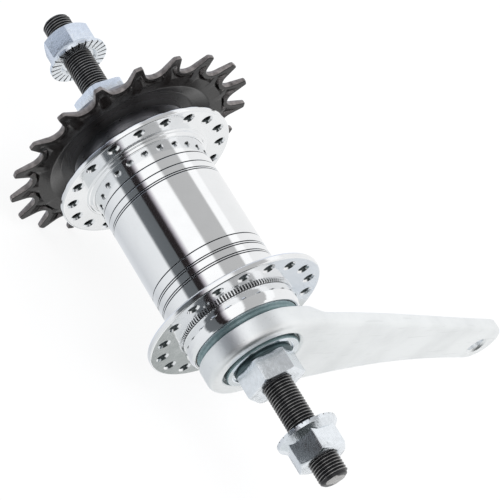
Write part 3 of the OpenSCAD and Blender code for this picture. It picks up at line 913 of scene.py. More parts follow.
def finish(slot):
    """The finish of one of the record's material slots."""
    if slot in FINISHES:
        return FINISHES[slot]
    shades = bpy.context.scene.hub_finishes
    if slot == "chrome_shell":
        made = plated("Mirror chrome", shades.chrome, 0.045, 0.03, 0.03, 0.03, wave=0.3)
    elif slot == "chrome_flange":
        made = plated(
            "Bright plate",
            times(shades.chrome, 0.99),
            0.07,
            0.05,
            0.05,
            0.05,
            wave=0.4,
            # dark teal painted shade for the walls of the spoke holes
            shade_colour=(0.03, 0.045, 0.045),
        )
    elif slot == "zinc_steel":
        made = plated(
            "Blue zinc",
            shades.zinc,
            0.13,
            0.08,
            0.1,
            0.05,
            grain=1500.0,
            clouds_scale=700.0,
            sparkle=1.6,
            ripple=1.7,
        )
    elif slot == "zinc_cap":
        made = plated(
            "Zinc cap",
            times(shades.zinc, 1.06),
            0.1,
            0.07,
            0.06,
            0.12,
            # teal painted shade for the groove of the dust cap
            shade_colour=(0.13, 0.24, 0.25),
            depth=0.8,
        )
    elif slot == "satin_zinc":
        made = satin_plate("Satin zinc", shades.satin)
    elif slot == "black_sprocket":
        made = black_paint("Satin black", shades.black)
    elif slot == "black_oxide_steel":
        made = black_oxide(
            "Black oxide", shades.oxide, bpy.context.scene.hub_axle.radius
        )
    elif slot in PLAIN_FINISHES:
        made = plated(*PLAIN_FINISHES[slot])
    else:
        raise RuntimeError("no finish for slot " + slot)
    FINISHES[slot] = made
    return made


def dress(obj, node, degrees=32):
    """Shades a piece, and gives it its node's finish, body and place."""
    shaded(obj, degrees)
    return finished(obj, node, finish(SLOT_OF[node]))


def ringed(obj, count, slot, turn=0.0, merge=0.0):
    """Copies of the object all round the Y axis, in the finish of a slot."""
    return grown(
        obj, ring_tree(), Count=count, Turn=turn, Merge=merge, Material=finish(slot)
    )


def dress_copies(*pieces):
    """Finished copies of CAD nodes, with the width of their fine edges in mm."""
    for node, width in pieces:
        copy = cad_copy(node, node + "_piece", width)
        finished(copy, node, finish(SLOT_OF[node]))


# axle, nuts and washers, lengths in mm

# the bore of a nut and of a washer
NUT_BORE_R = 4.81
WASHER_BORE_R = 4.8
AXLE_NUT_FLATS = 15.0
LOCKNUT_FLATS = 17.0
NUT_FACES = {"drive_axle_nut": 71.8, "brake_axle_nut": -73.8}
NUT_LENGTH = 10.2


def make_axle():
    """The axle: plain in the middle, threaded at both ends."""
    sizes = bpy.context.scene.hub_axle
    low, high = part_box("axle")
    core = (sizes.radius - sizes.depth) / MM
    reach = sizes.thread_start / MM + 1.0
    outline = [(0, -reach), (core, -reach), (core, reach), (0, reach)]
    rod = turned("axle_piece", outline, AXLE_STEPS)
    ends = []
    for side, tip in ((1, high.y), (-1, -low.y)):
        end = link("thread", bpy.data.meshes.new("thread"))
        grown(
            end,
            thread_tree(),
            Radius=sizes.radius,
            Pitch=sizes.pitch,
            Depth=sizes.depth,
            Start=sizes.thread_start,
            End=tip,
            Chamfer=sizes.chamfer,
            Segments=AXLE_STEPS,
            Material=finish("black_oxide_steel"),
        )
        if side < 0:
            end.data.transform(Matrix.Rotation(math.pi, 4, "X"))
        ends.append(end)
    outward(*ends)
    joined(rod, *ends)
    return dress(rod, "axle", 50)


def outward(*objects):
    """Points the faces of closed meshes outwards."""
    for obj in objects:
        bm = bmesh.new()
        bm.from_mesh(obj.data)
        bmesh.ops.remove_doubles(bm, verts=bm.verts, dist=1e-7)
        bmesh.ops.recalc_face_normals(bm, faces=bm.faces)
        bm.to_mesh(obj.data)
        bm.free()


def hex_body(name, flats, turn, y0, y1, cut0, cut1, end_cut=1.4):
    """A hexagon bar whose corners are turned off at the ends that have a cut."""
    corner = flats / math.sqrt(3)

    def end(y, cut, out):
        """The turned outline at one end, where out is the way off the bar."""
        if not cut:
            return [(0, y + 0.5 * out), (corner + 1, y + 0.5 * out)]
        return [(0, y), (corner - end_cut, y), (corner + 0.1, y - cut * out)]

    bar = prism(name, hexagon(flats, turn), y0, y1)
    outline = end(y0, cut0, -1) + end(y1, cut1, 1)[::-1]
    return combined(bar, turned("round", outline, 96), "INTERSECT")


def bored(obj, radius, y0, y1, mouth):
    """A bore along Y with a countersink at each mouth."""
    tool = turned(
        "drill",
        [
            (0, y0 - 1),
            (radius + mouth + 1, y0 - 1),
            (radius, y0 + mouth),
            (radius, y1 - mouth),
            (radius + mouth + 1, y1 + 1),
            (0, y1 + 1),
        ],
        72,
    )
    return combined(obj, tool, "DIFFERENCE")


def make_axle_nut(node):
    """An axle nut: serrated flange, cone, hexagon with turned corners."""
    sizes = bpy.context.scene.hub_axle
    flange_r = 9.9
    body = turned(
        node + "_piece",
        rounded(
            [
                (0, 0),
                (flange_r, 0, 0.12),
                (flange_r, 1.3, 0.3),
                (7.9, 3.2, 0.4),
                (7.1, 3.5),
                (0, 3.5),
            ],
            closed=False,
        ),
    )
    bar = hex_body("bar", AXLE_NUT_FLATS, 15.2, 1.3, NUT_LENGTH, 0, 0.9)
    bevelled(bar, 0.14, 2, 35)
    combined(body, bar, "UNION")
    drill = turned(
        "drill",
        [
            (0, -1),
            (6.4, -1),
            (6.4, 0),
            (5.6, 0.9),
            (NUT_BORE_R, 0.9),
            (NUT_BORE_R, NUT_LENGTH - 0.6),
            (5.5, NUT_LENGTH + 0.1),
            (5.5, NUT_LENGTH + 1),
            (0, NUT_LENGTH + 1),
        ],
        72,
    )
    combined(body, drill, "DIFFERENCE")
    groove = from_faces(
        "groove",
        [
            (6.6, -0.3, -0.3),
            (6.6, -0.3, 0.3),
            (10.6, -0.3, -0.5),
            (10.6, -0.3, 0.5),
            (6.6, 0.42, 0.0),
            (10.6, 0.7, 0.0),
        ],
        [[0, 1, 3, 2], [0, 4, 1], [2, 3, 5], [0, 2, 5, 4], [1, 4, 5, 3]],
    )
    grown(
        body,
        cut_tree(),
        Cutter=groove,
        Count=sizes.serrations,
        Turn=0.02,
        Material=finish("zinc_steel"),
    )
    drop(groove)

    def in_serration(r, y, lean):
        return 6.5 < r < 9.84 and 0.03 < y < 0.8 and abs(lean.y) < 0.95

    # painted shade in the serrations of the nut's flange
    mark_painted_shade(body, in_serration)
    if node == "brake_axle_nut":
        body.data.transform(Matrix.Scale(-1, 4, (0, 1, 0)))
    body.data.transform(Matrix.Translation((0, NUT_FACES[node] * MM, 0)))
    outward(body)
    return dress(body, node, 34)


def make_locknut(node, y0, y1, turn):
    """A thin nut with turned corners at both faces."""
    body = hex_body(node + "_piece", LOCKNUT_FLATS, turn, y0, y1, 0.4, 0.4, 0.6)
    bored(body, NUT_BORE_R, y0, y1, 0.6)
    bevelled(body, 0.16, 2, 35)
    return dress(body, node, 34)


def make_washers():
    """Lock washers, the dished washer of the arm and the brake side dust cap."""
    bore = WASHER_BORE_R
    plate = turned(
        "drive_lock_washer_piece",
        rounded([(bore, 50, 0.1), (8.6, 50, 0.25), (8.6, 51, 0.25), (bore, 51, 0.1)]),
    )
    dress(plate, "drive_lock_washer")
    dished = turned(
        "arm_dished_washer_piece",
        rounded(
            [
                (bore, -45.2, 0.1),
                (12.35, -45.2, 0.2),
                (12.35, -48.4, 0.35),
                (10.5, -48.4, 0.3),
                (10.2, -47.5, 0.25),
                (bore, -47.5, 0.1),
            ],
            step=10,
        ),
    )
    # painted shade on the washer's outer wall, in the gap to the arm
    mark_painted_shade(dished, lambda r, y, lean: r > 12.1 and y > -48.38)
    dress(dished, "arm_dished_washer")
    dark = turned(
        "brake_lock_washer_piece",
        rounded(
            [(bore, -47.5), (9.6, -47.5, 0.2), (9.6, -49.3, 0.4), (bore, -49.3)]
        ),
    )
    dress(dark, "brake_lock_washer")
    cap = turned(
        "brake_dust_cap_piece",
        rounded(
            [
                (10.62, -38.4, 0.1),
                (15.9, -38.4, 0.3),
                (15.9, -37.3, 0.2),
                (17.2, -37.3, 0.3),
                (17.2, -38.6, 0.5),
                (16.3, -39.35, 0.9),
                (16.3, -40.3, 0.9),
                (17.3, -41, 0.15),
                (14.8, -41, 0.1),
                (14.8, -39.6, 0.2),
                (10.62, -39.6, 0.1),
            ],
            step=10,
        ),
    )
    # painted shade in the groove of the dust cap
    mark_painted_shade(cap, lambda r, y, lean: r > 16 and -40.9 < y < -38.45)
    dress(cap, "brake_dust_cap")


# shell, lengths in mm

BARREL_R = 19.1
FLANGE_SEAT_R = 18.55
GROOVE_FLOOR_R = 18.72
RACE_R = 3.26
FLANGE_R = 29.5
COLLAR_BORE_R = 19.12


def make_barrel():
    """The barrel with its turned grooves, its lips and two knurled lands."""
    sizes = bpy.context.scene.hub_shell
    grooves = [18.0, 14.5, 12.1, 11.4, -13.9, -17.0, -17.7, -20.2, -20.9]
    outside = [
        (17.4, -38.4, 0.3),
        (18.0, -38.4, 0.35),
        (18.45, -37.7, 0.6),
        (18.85, -36.7, 1.5),
        (BARREL_R, -35.2, 2.5),
        (18.9, -33.4, 1.5),
        (18.65, -32.6, 0.2),
        (FLANGE_SEAT_R, -32.5),
        (FLANGE_SEAT_R, -31.6),
        (BARREL_R, -31.6),
    ]
    for y in sorted(grooves):
        outside += [
            (BARREL_R, y - 0.19, 0.03),
            (GROOVE_FLOOR_R, y - 0.06),
            (GROOVE_FLOOR_R, y + 0.06),
            (BARREL_R, y + 0.19, 0.03),
        ]
    outside += [
        (BARREL_R, 27.4),
        (FLANGE_SEAT_R, 27.4),
        (FLANGE_SEAT_R, 28.3, 0.1),
        (BARREL_R, 28.6, 0.2),
        (BARREL_R, 31.4, 1.5),
        (FLANGE_SEAT_R, 33, 0.5),
        (16.8, 33, 0.3),
        (16.8, 28.8),
        (12.4, 28.8, 0.3),
        (12.4, 17.5, 0.3),
        (13.6, 17.5),
        (15.05, 5.0),
        (15.05, -32.8, 0.2),
        (17.4, -32.8),
    ]
    barrel = turned("hub_barrel_piece", rounded(outside, step=11), FINE_STEPS)
    for pitch_r, y in ((13.4, 29.4), (13.95, -33.4)):
        ring = [
            (
                pitch_r + RACE_R * math.cos(math.radians(a)),
                y + RACE_R * math.sin(math.radians(a)),
            )
            for a in range(0, 360, 10)
        ]
        combined(barrel, turned("race", ring, FINE_STEPS), "DIFFERENCE")

    def in_recess(r, y, lean):
        in_groove = any(abs(y - middle) < 0.25 for middle in grooves)
        in_knurl = -32.6 < y < -31.5 or 27.3 < y < 28.4
        return 18.4 < r < 19.02 and (in_groove or in_knurl)

    ticks = []
    for y0, y1 in ((-32.45, -31.5), (27.3, 28.25)):
        ridge = from_faces(
            "ticks",
            [
                (18.5, y0, -0.26),
                (18.5, y0, 0.26),
                (18.5, y1, -0.26),
                (18.5, y1, 0.26),
                (19.3, y0 + 0.12, -0.17),
                (19.3, y0 + 0.12, 0.17),
                (19.3, y1 - 0.12, -0.17),
                (19.3, y1 - 0.12, 0.17),
            ],
            [
                [0, 1, 5, 4],
                [4, 5, 7, 6],
                [2, 6, 7, 3],
                [0, 4, 6, 2],
                [1, 3, 7, 5],
                [0, 2, 3, 1],
            ],
        )
        ringed(ridge, sizes.ticks, "chrome_shell")
        outward(ridge)
        ticks.append(ridge)
    # painted shade in the turned grooves and on the knurled lands
    mark_painted_shade(barrel, in_recess)
    joined(barrel, *ticks)
    return dress(barrel, "hub_barrel", 30)


def spoke_cutter(radius):
    """A drill for a spoke hole with rounded countersinks, centred on the flange."""
    return turned(
        "spoke_drill",
        rounded(
            [
                (0, -2.6),
                (radius + 2.6, -2.6),
                (radius, -0.3, 0.7),
                (radius, 0.3, 0.7),
                (radius + 2.6, 2.6),
                (0, 2.6),
            ],
            closed=False,
            step=8,
        ),
        28,
    )


def make_flange(node, face, side, hole_circle, turn):
    """A spoke flange with its collar and countersunk holes. face is its outboard Y."""
    sizes = bpy.context.scene.hub_shell
    outline = rounded(
        [
            (COLLAR_BORE_R, 0, 0.1),
            (FLANGE_R, 0, 0.6),
            (FLANGE_R, -2, 0.6),
            (21.2, -2, 0.4),
            (20.8, -2.5, 0.2),
            (20.3, -2.6, 0.3),
            (19.7, -3.45, 0.4),
            (COLLAR_BORE_R, -3.5, 0.1),
        ],
        step=11,
    )
    body = turned(node + "_piece", outline, FINE_STEPS)
    tool = spoke_cutter(sizes.hole_radius / MM)
    tool.data.transform(Matrix.Translation((hole_circle * MM, -1 * MM, 0)))
    grown(
        body,
        cut_tree(),
        Cutter=tool,
        Count=sizes.holes,
        Turn=math.radians(turn),
        Material=finish("chrome_flange"),
    )
    drop(tool)
    # painted shade on the walls and roundings of the spoke holes
    mark_painted_shade(body, lambda r, y, lean: 23 < r < 28 and abs(lean.y) < 0.74)
    if side < 0:
        body.data.transform(Matrix.Scale(-1, 4, (0, 1, 0)))
    body.data.transform(Matrix.Translation((0, face * MM, 0)))
    outward(body)
    return dress(body, node, 28)


# sprocket and driver


def tooth_outline():
    """Half a tooth gap and half a tooth in X and Z mm, from gap to tooth centre."""
    sizes = bpy.context.scene.hub_sprocket
    pitch = sizes.chain_pitch / MM
    half = math.pi / sizes.teeth
    pitch_r = pitch / 2 / math.sin(half)
    tip_r = pitch / 2 * (0.6 + 1 / math.tan(half))
    seat = sizes.roller / MM / 2 + 0.05
    lean = math.radians(24.5)
    x0, z0 = pitch_r - seat * math.sin(lean), seat * math.cos(lean)
    # the flank meets the tip circle where x*x + z*z = tip_r*tip_r
    lift = z0 - x0 * math.tan(lean)
    a = 1 + math.tan(lean) ** 2
    b = 2 * math.tan(lean) * lift
    c = lift**2 - tip_r**2
    x1 = (-b + math.sqrt(b * b - 4 * a * c)) / (2 * a)
    z1 = lift + x1 * math.tan(lean)
    points = []
    for k in range(11):
        t = math.radians(180) - (math.radians(90) - lean) * k / 10
        points.append((pitch_r + seat * math.cos(t), seat * math.sin(t)))
    tip = (tip_r * math.cos(half), tip_r * math.sin(half))
    rounding = rounded([points[-1], (x1, z1, 0.9), tip], closed=False, step=12)
    points += rounding[1:]
    return points, half, tip_r


def make_sprocket():
    """The dished sprocket: one tooth is made, and copied all round."""
    sizes = bpy.context.scene.hub_sprocket
    half_line, half, tip_r = tooth_outline()
    c, s = math.cos(2 * half), math.sin(2 * half)
    mirrored = []
    for x, z in reversed(half_line[:-1]):
        # mirrored about the tooth's centre line, which is at angle half
        mirrored.append((x * c + z * s, x * s - z * c))
    line = half_line + mirrored
    count = len(line)
    normals = []
    for i, (x, z) in enumerate(line):
        ax, az = line[max(0, i - 1)]
        bx, bz = line[min(count - 1, i + 1)]
        if i == 0:
            nx, nz = 1.0, 0.0
        elif i == count - 1:
            nx, nz = c, s
        else:
            dx, dz = bx - ax, bz - az
            size = math.hypot(dx, dz)
            nx, nz = dz / size, -dx / size
        normals.append((nx, nz))
    top, bottom, rise = 38.1, 36.1, 2.8
    bevel_from = tip_r - 2.6

    def ease(r, side):
        """The tips are thinned from the outboard face only."""
        return min(0.0, side) * 0.6 * min(1.0, max(0.0, (r - bevel_from) / 2.6))

    inner = rounded(
        [
            (32.5, top),
            (29.98, top, 1.2),
            (24.8, top + rise, 1.2),
            (17.46, top + rise, 0.2),
            (17.46, bottom + rise, 0.2),
            (23.2, bottom + rise, 1.2),
            (28.38, bottom, 1.2),
            (32.5, bottom),
        ],
        closed=False,
        step=7,
    )
    rings = []
    for r, y in reversed(inner):
        rings.append(
            [
                (r * x / math.hypot(x, z), y, r * z / math.hypot(x, z))
                for x, z in line
            ]
        )

    def support_ring(y, back_off):
        """A flat ring inside the bevel of the teeth."""
        ring = []
        for (x, z), (nx, nz) in zip(line, normals):
            px, pz = x - nx * 0.8, z - nz * 0.8
            r = math.hypot(px, pz)
            scale = (min(bevel_from, r) - back_off) / r
            ring.append((px * scale, y, pz * scale))
        return ring

    def edge_ring(inset, sink, face, inward):
        """A ring along the teeth, sunk from a face towards the plate's middle."""
        ring = []
        for (x, z), (nx, nz) in zip(line, normals):
            px, pz = x - nx * inset, z - nz * inset
            r = math.hypot(px, pz)
            ring.append((px, face + ease(r, inward) + inward * sink, pz))
        return ring

    # the toothed edge, from the inboard face round to the outboard face
    edge = 0.3
    section = ((0.55, 0.0), (edge, 0.0), (0.09, 0.09), (0.0, edge))
    rings += [support_ring(bottom, 0.6), support_ring(bottom, 0.15)]
    rings += [edge_ring(inset, sink, bottom, 1) for inset, sink in section]
    rings += [edge_ring(inset, sink, top, -1) for inset, sink in reversed(section)]
    rings += [support_ring(top, 0.15), support_ring(top, 0.6)]
    rows = len(rings)
    points = [p for ring in rings for p in ring]
    faces = []
    for i in range(rows):
        j = (i + 1) % rows
        for k in range(count - 1):
            a, b = i * count + k, j * count + k
            faces.append([a, a + 1, b + 1, b])
    tooth = from_faces("sprocket_piece", points, faces, outward=False)
    ringed(tooth, sizes.teeth, "black_sprocket", sizes.turn - half, 0.000004)
    outward(tooth)
    lug = prism(
        "lug",
        rounded(
            [(15.6, -2.5, 0.4), (18.2, -2.5), (18.2, 2.5), (15.6, 2.5, 0.4)], step=12
        ),
        bottom + rise + 0.02,
        top + rise - 0.02,
    )
    bevelled(lug, 0.15)
    ringed(lug, 3, "black_sprocket", math.radians(90))
    outward(lug)
    joined(tooth, lug)
    return dress(tooth, "sprocket", 30)


# arm, lengths in mm

ARM_FACE_Y = -48.0
ARM_SHEET = 2.4
CLIP_HOLE_X = 121.2
CLIP_HOLE_R = 3.2


def curve_points(p, steps):
    """Points along a cubic curve of four control points."""
    out = []
    for i in range(steps + 1):
        t = i / steps
        u = 1 - t
        w = (u**3, 3 * t * u * u, 3 * t * t * u, t**3)
        out.append(tuple(sum(w[k] * p[k][d] for k in range(4)) for d in (0, 1)))
    return out


def arm_outline():
    """Outline of drum and arm in X and Z mm, anticlockwise, evenly spaced."""
    tip, tip_r = (122.5, 1.0), 8.7
    upper_end, lower_end = (tip[0], tip[1] + tip_r), (tip[0], tip[1] - tip_r)
    upper = curve_points([(0, 18), (40, 18.3), (80, 12.8), upper_end], 60)
    lower = curve_points([lower_end, (62, -2.8), (40, -11.5), (8, -16.2)], 60)
    line = list(reversed(upper))
    start = 90.0
    end = 360.0 + math.degrees(math.atan2(-16.2, 8))
    for k in range(1, 60):
        a = math.radians(start + (end - start) * k / 60)
        line.append((18 * math.cos(a), 18 * math.sin(a)))
    line += list(reversed(lower))
    for k in range(1, 24):
        a = math.radians(-90 + 180 * k / 24)
        line.append((tip[0] + tip_r * math.cos(a), tip[1] + tip_r * math.sin(a)))
    total = [0.0]
    closed = line + [line[0]]
    for a, b in zip(closed, closed[1:]):
        total.append(total[-1] + math.dist(a, b))
    count = 260
    even, k = [], 0
    for i in range(count):
        want = total[-1] * i / count
        while total[k + 1] < want:
            k += 1
        share = (want - total[k]) / (total[k + 1] - total[k])
        a, b = closed[k], closed[k + 1]
        even.append(tuple(a[d] + share * (b[d] - a[d]) for d in (0, 1)))
    # three rounds that even out the joins of its curves
    for _ in range(3):
        after = even[1:] + even[:1]
        before = even[-1:] + even[:-1]
        even = [
            tuple(0.25 * a[d] + 0.5 * b[d] + 0.25 * c[d] for d in (0, 1))
            for a, b, c in zip(before, even, after)
        ]
    return even


def make_arm():
    """The brake arm: a pressed plate with turned edges and a round drum."""
    line = arm_outline()
    count = len(line)
    normals = []
    for i in range(count):
        ax, az = line[i - 1]
        bx, bz = line[(i + 1) % count]
        size = math.dist((ax, az), (bx, bz))
        normals.append(((bz - az) / size, -(bx - ax) / size))
    face, wall = ARM_FACE_Y, ARM_SHEET

    def back(x):
        """Y of the turned edge's back, deeper at the drum than at the arm."""
        t = min(1.0, max(0.0, (x - 9.0) / 8.0))
        return -41.0 - 2.5 * t * t * (3 - 2 * t)

    def edge_round(x):
        """Radius of the turned edge, smaller along the arm than at the drum."""
        t = min(1.0, max(0.0, (x - 14.0) / 20.0))
        return 2.2 - 0.7 * t

    loops = []

    def loop(inset_of, y_of):
        """Adds the outline, moved inwards, at a height that both follow X."""
        loops.append(
            [
                (x - nx * inset_of(x), y_of(x), z - nz * inset_of(x))
                for (x, z), (nx, nz) in zip(line, normals)
            ]
        )

    steps = 7
    loop(lambda x: edge_round(x) + 0.35, lambda x: face)
    for k in range(steps + 1):
        a = math.radians(90 * k / steps)
        loop(
            lambda x, a=a: edge_round(x) * (1 - math.sin(a)),
            lambda x, a=a: face + edge_round(x) * (1 - math.cos(a)),
        )
    loop(lambda x: 0.0, lambda x: back(x) - 0.35)
    loop(lambda x: 0.0, lambda x: back(x) - 0.25)
    loop(lambda x: 0.08, lambda x: back(x) - 0.07)
    loop(lambda x: 0.25, lambda x: back(x))
    loop(lambda x: wall - 0.25, lambda x: back(x))
    loop(lambda x: wall - 0.07, lambda x: back(x) - 0.07)
    loop(lambda x: wall, lambda x: back(x) - 0.25)
    loop(lambda x: wall, lambda x: face + wall + 0.7)
    loop(lambda x: wall + 0.1, lambda x: face + wall + 0.25)
    loop(lambda x: wall + 0.35, lambda x: face + wall + 0.04)
    loop(lambda x: wall + 0.7, lambda x: face + wall)
    points = [p for one in loops for p in one]
    faces = []
    for i in range(len(loops) - 1):
        for k in range(count):
            m = (k + 1) % count
            row, after = i * count, (i + 1) * count
            faces.append([row + k, row + m, after + m, after + k])
    faces.append(list(range(count)))
    faces.append([(len(loops) - 1) * count + k for k in reversed(range(count))])
    arm = from_faces("brake_arm_piece", points, faces)
    floor = turned("floor", [(0, -46), (15.7, -46), (15.7, -42.8), (0, -42.8)], 120)
    combined(arm, floor, "UNION")
    eye = turned(
        "eye",
        rounded(
            [
                (0, face - 1),
                (15.2, face - 1),
                (13.15, face + 0.75, 0.5),
                (13.15, -45.2),
                (0, -45.2),
            ],
            closed=False,
            step=12,
        ),
    )
    combined(arm, eye, "DIFFERENCE")
    slot = turned("slot", [(0, -50), (8.58, -50), (8.58, -40), (0, -40)], 72)
    half_flat = 6.68
    corners = [(-10, -half_flat), (10, -half_flat), (10, half_flat), (-10, half_flat)]
    flat = prism("flat", corners, -51, -39)
    combined(slot, flat, "INTERSECT")
    combined(arm, slot, "DIFFERENCE")
    hole = turned(
        "hole",
        rounded(
            [
                (0, face - 1),
                (5.4, face - 1),
                (CLIP_HOLE_R, face + 0.7, 0.6),
                (CLIP_HOLE_R, face + wall - 0.4, 0.3),
                (4.4, face + wall + 0.8),
                (0, face + wall + 0.8),
            ],
            closed=False,
            step=12,
        ),
        48,
    )
    hole.data.transform(Matrix.Translation((CLIP_HOLE_X * MM, 0, 0)))
    combined(arm, hole, "DIFFERENCE")
    return dress(arm, "brake_arm", 26)


# bearings

BALLS = 10


def make_balls(node, ring_r, y, radius):
    """A ring of bearing balls, lengths in mm."""
    bm = bmesh.new()
    bmesh.ops.create_uvsphere(bm, u_segments=32, v_segments=20, radius=radius * MM)
    bmesh.ops.translate(bm, verts=bm.verts, vec=(ring_r * MM, y * MM, 0))
    mesh = bpy.data.meshes.new(node + "_piece")
    bm.to_mesh(mesh)
    bm.free()
    obj = link(node + "_piece", mesh)
    ringed(obj, BALLS, "ball_steel")
    return dress(obj, node, 60)


# operators


class HubOperator(bpy.types.Operator):
    """Base of the hub's operators"""

    bl_options = {"REGISTER", "UNDO"}

    def execute(self, context):
        self.build(context)
        return {"FINISHED"}


class HUB_OT_axle(HubOperator):
    """Build the threaded axle"""

    bl_idname = "hub.axle"
    bl_label = "Axle"

    def build(self, context):
        make_axle()


class HUB_OT_axle_nuts(HubOperator):
    """Build both serrated axle nuts"""

    bl_idname = "hub.axle_nuts"
    bl_label = "Axle nuts"

    def build(self, context):
        make_axle_nut("drive_axle_nut")
        make_axle_nut("brake_axle_nut")


class HUB_OT_locknuts(HubOperator):
    """Build both locknuts"""

    bl_idname = "hub.locknuts"
    bl_label = "Locknuts"

    def build(self, context):
        make_locknut("drive_locknut", 51.0, 57.0, 29.2)
        make_locknut("brake_locknut", -57.0, -49.3, 40.2)


class HUB_OT_washers(HubOperator):
    """Build the washers and the brake side dust cap"""

    bl_idname = "hub.washers"
    bl_label = "Washers and dust cap"

    def build(self, context):
        make_washers()


class HUB_OT_barrel(HubOperator):
    """Build the grooved barrel with its knurled lands"""

    bl_idname = "hub.barrel"
    bl_label = "Barrel"

    def build(self, context):
        make_barrel()


class HUB_OT_flanges(HubOperator):
    """Build both spoke flanges"""

    bl_idname = "hub.flanges"
    bl_label = "Spoke flanges"

    def build(self, context):
        make_flange("drive_flange", 27.4, 1, 25.95, 18.7)
        make_flange("brake_flange", -31.6, -1, 25.35, 9.0)


class HUB_OT_sprocket(HubOperator):
    """Build the sprocket"""

    bl_idname = "hub.sprocket"
    bl_label = "Sprocket"

    def build(self, context):
        make_sprocket()


class HUB_OT_driver(HubOperator):
    """Build the driver, its snap ring and the dust rings of its side"""

    bl_idname = "hub.driver"
    bl_label = "Driver"

    def build(self, context):
        dress_copies(
            ("driver", 0.0),
            ("driver_dust_cap", 0.15),
            ("snap_ring", 0.2),
            ("drive_dust_ring", 0.12),
        )


class HUB_OT_arm(HubOperator):
    """Build the brake arm"""

    bl_idname = "hub.arm"
    bl_label = "Brake arm"

    def build(self, context):
        make_arm()


class HUB_OT_bearings(HubOperator):
    """Build the balls and their cages"""

    bl_idname = "hub.bearings"
    bl_label = "Bearings"

    def build(self, context):
        make_balls("small_balls", 9.0, 45.2, 2.38)
        make_balls("drive_balls", 13.4, 29.4, 3.175)
        make_balls("brake_balls", 13.95, -33.4, 3.175)
        dress_copies(
            ("small_ball_cage", 0.0), ("drive_ball_cage", 0.0), ("brake_ball_cage", 0.0)
        )


class HUB_OT_brake(HubOperator):
    """Build the cones, the clutch, the shoes and the retarder spring"""

    bl_idname = "hub.brake"
    bl_label = "Brake mechanism"

    def build(self, context):
        dress_copies(
            ("drive_cone", 0.0),
            ("brake_cone", 0.0),
            ("clutch_cone", 0.0),
            ("retarder_spring", 0.1),
            ("brake_shoe_upper_front", 0.15),
            ("brake_shoe_upper_rear", 0.15),
            ("brake_shoe_lower_rear", 0.15),
            ("brake_shoe_lower_front", 0.15),
        )


# studio


def shade_of(value, tint=(1.0, 1.0, 1.0)):
    """A linear colour from a display value."""
    return tuple((value**2.2) * t for t in tint)


# studio cards by their angle about the axle, in degrees from +X towards +Z:
# angle, display value, tint
SIDE_CARDS = (
    (-178.0, 0.40, (0.92, 1.0, 1.07)),
    (-157.0, 0.43, (0.92, 1.0, 1.07)),
    (-152.0, 0.95, (0.98, 1.0, 1.02)),
    (-128.0, 0.93, (0.98, 1.0, 1.02)),
    (-85.0, 0.84, (0.97, 1.0, 1.04)),
    (-48.0, 0.90, (0.97, 1.0, 1.04)),
    (-34.0, 0.98, (1.0, 1.0, 1.0)),
    (58.0, 0.97, (1.0, 1.0, 1.0)),
    (61.0, 1.04, (1.0, 1.0, 1.0)),
    (77.0, 1.04, (1.0, 1.0, 1.0)),
    (80.0, 0.75, (1.0, 1.0, 1.0)),
    (122.0, 0.74, (1.0, 1.0, 1.0)),
    (126.0, 1.04, (1.0, 1.0, 1.0)),
    (157.0, 1.04, (1.0, 1.0, 1.0)),
    (163.0, 0.70, (1.03, 0.97, 1.06)),
    (168.0, 0.17, (1.15, 0.92, 1.0)),
    (179.0, 0.16, (1.1, 0.95, 0.98)),
)
# the cards that faces towards -Y show
END_CARDS = (
    *SIDE_CARDS[:4],
    (-62.0, 0.90, (0.97, 1.0, 1.0)),
    (-52.0, 0.50, (0.90, 1.0, 0.97)),
    (-36.0, 0.55, (0.90, 1.0, 0.97)),
    (-30.0, 0.84, (0.96, 1.0, 0.99)),
    (-24.0, 0.98, (1.0, 1.0, 1.0)),
    *SIDE_CARDS[7:],
)


def card_ramp(n, angle, cards):
    """A ramp through a ring of cards."""
    share = n.math("MULTIPLY_ADD", angle, 1 / (2 * math.pi), 0.5)
    stops = [((a + 180.0) / 360.0, shade_of(v, tint)) for a, v, tint in cards]
    return ramp(n, share, stops)


def smooth(n, value, low, high):
    """Rises smoothly from 0 to 1 as the value goes from low to high."""
    return n.new(
        "ShaderNodeMapRange",
        {"Value": value, "From Min": low, "From Max": high},
        interpolation_type="SMOOTHSTEP",
    ).outputs[0]


